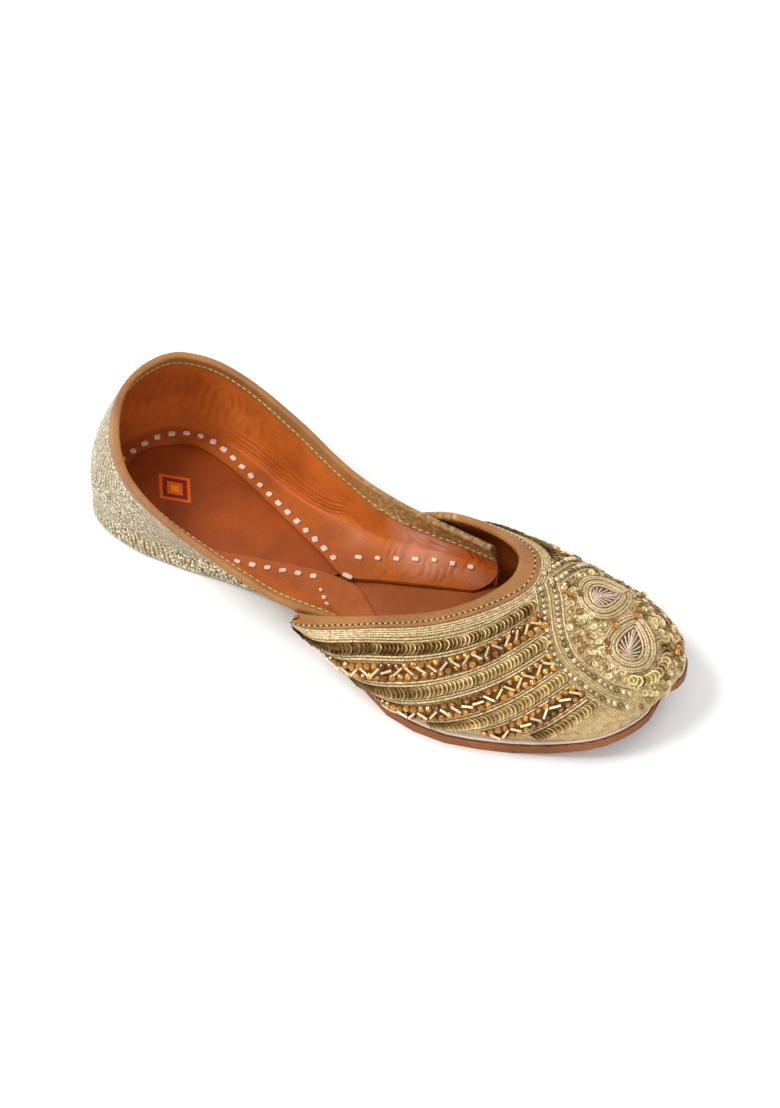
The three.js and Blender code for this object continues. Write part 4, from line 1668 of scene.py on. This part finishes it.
# Lines of white thong through the flange: the pitch, half a loop's length and width, and the
# line's x and y. They run round the heel and along the far side, along the near side, along the
# far wing and in three small loops by the near wing. The last is one long loop at the pad's point.
THONG_LINES = [
    (6.1, (1.5, 1.15), [(2.6, 1), (4.6, 8), (9.2, 18.5), (18, 25.6), (28.1, 27.2), (40, 24),
                       (58.6, 16.2), (81.1, 7), (103, -2.6)]),
    (6.0, (1.5, 1.0), [(52, -25.8), (66.9, -22.8), (83.7, -18.4), (100.6, -14.2)]),
    (7.2, (1.4, 0.95), [(111.5, 2.6), (124.8, 9.6), (138.4, 15.6), (153, 19)]),
    (4.1, (1.0, 0.7), [(106.5, -18.7), (109.5, -21.6), (112.4, -24.5)]),
    (9, (2.1, 1.1), [(110.6, -7.9), (113.6, -6.8)]),
]
THONG_OVER = 0.35


def thong_places(line, pitch):
    """Points at an even pitch, each with its direction. A line of two points holds one loop."""
    path = smooth_path([(x, y, 0) for x, y in line], pitch)
    last = len(path) - 1
    if len(line) == 2:
        return [((path[0] + path[last]) / 2, path[last] - path[0])]
    return [(point, path[min(i + 1, last)] - path[max(i - 1, 0)]) for i, point in enumerate(path)]


def make_thongs():
    dice = random.Random(SEED + 3)
    spots = []
    for pitch, (length, width), line in THONG_LINES:
        for point, ahead in thong_places(line, pitch):
            hit, normal, _, _ = FLANGE.ray_cast(metres((point.x, point.y, 40)), Vector((0, 0, -1)))
            if hit is None:
                continue
            place = hit / MM + PATTERN_MIDDLE
            turn = ahead.normalized() + Vector((-ahead.y, ahead.x, 0)).normalized() * dice.uniform(-0.4, 0.4)
            size = (length * dice.uniform(0.75, 1.05), width * dice.uniform(0.8, 1.1), 0.55)
            spots.append((place + normal * THONG_OVER, turn, normal, size, dice.random()))
    copies("white_thongs", model_thong(), spots, True, "thong", "lining_leather")


NOTCH_SHARE = 0.935  # how far along the sole's right edge the toe's notch lies
TAB_OUT = 2.7
TAB_OVER = 1.9
TAB_SIZE = (1.2, 1.4, 3.6)


def make_toe_tab():
    """A short white loop at the front of the rand, over the sole's edge."""
    foot, outward = sole_edge(-1, NOTCH_SHARE, -TAB_OUT)
    point = Vector((foot.x, foot.y, sole_top(foot.x) + TAB_OVER))
    spots = [(point, outward.to_3d(), Vector((0.1, 0, 1)), TAB_SIZE, MIDDLE_TONE)]
    copies("toe_tab", model_thong(), spots, True, "thong", "rand_leather")


# ---- floor and lights ------------------------------------------------------------------------------
def make_stage():
    bpy.ops.object.select_all(action="DESELECT")
    bpy.ops.mesh.primitive_plane_add(size=8)
    floor = bpy.context.object
    floor.name = "floor"
    finish, tree, shader = new_finish("floor_paper", roughness=0.9, base_color=(0.9, 0.9, 0.9, 1))
    patches = speckle(tree, object_place(tree), 3, 2)
    tint_with(tree, shader, ramp(tree, patches, [(0.3, (0.86, 0.86, 0.86, 1)), (0.7, (0.9, 0.9, 0.9, 1))]))
    floor.data.materials.append(finish)


def area_light(name, place, size, power):
    data = bpy.data.lights.new(name, "AREA")
    data.shape = "DISK"
    data.size = size
    data.energy = power
    light = bpy.data.objects.new(name, data)
    bpy.context.scene.collection.objects.link(light)
    light.location = place
    light.rotation_euler = (-Vector(place)).to_track_quat("-Z", "Y").to_euler()


def make_lights():
    area_light("key_light", (-0.9, -0.5, 1.5), 0.8, 24)
    area_light("front_light", (0.7, -1.4, 1.2), 1.0, 10)
    area_light("back_light", (0.4, 1.3, 1.1), 0.8, 7)
    world = bpy.data.worlds.new("studio")
    world.use_nodes = True
    backdrop = world.node_tree.nodes["Background"]
    backdrop.inputs["Color"].default_value = (1, 1, 1, 1)
    backdrop.inputs["Strength"].default_value = 0.68
    bpy.context.scene.world = world
    bpy.context.scene.view_settings.view_transform = "Standard"


# ---- the shoe --------------------------------------------------------------------------------------
def tree_of(piece):
    """The piece's faces, for laying work on them."""
    return BVHTree.FromObject(piece, bpy.context.evaluated_depsgraph_get())


make_bottom()
CLOTH = tree_of(make_vamp())
make_vamp_lining()
make_throat_binding()
make_quarter()
make_quarter_lining()
make_collar_binding()
FLANGE = tree_of(make_flange())
make_bands()
make_band_shade_strips()
make_zari_border()
make_sweeps()
make_leaf_shade_sheets()
make_leaves()
make_toe_filling()
make_throat_stitches()
make_collar_stitches()
make_thongs()
make_toe_tab()
make_stage()
make_lights()

bpy.context.view_layer.update()
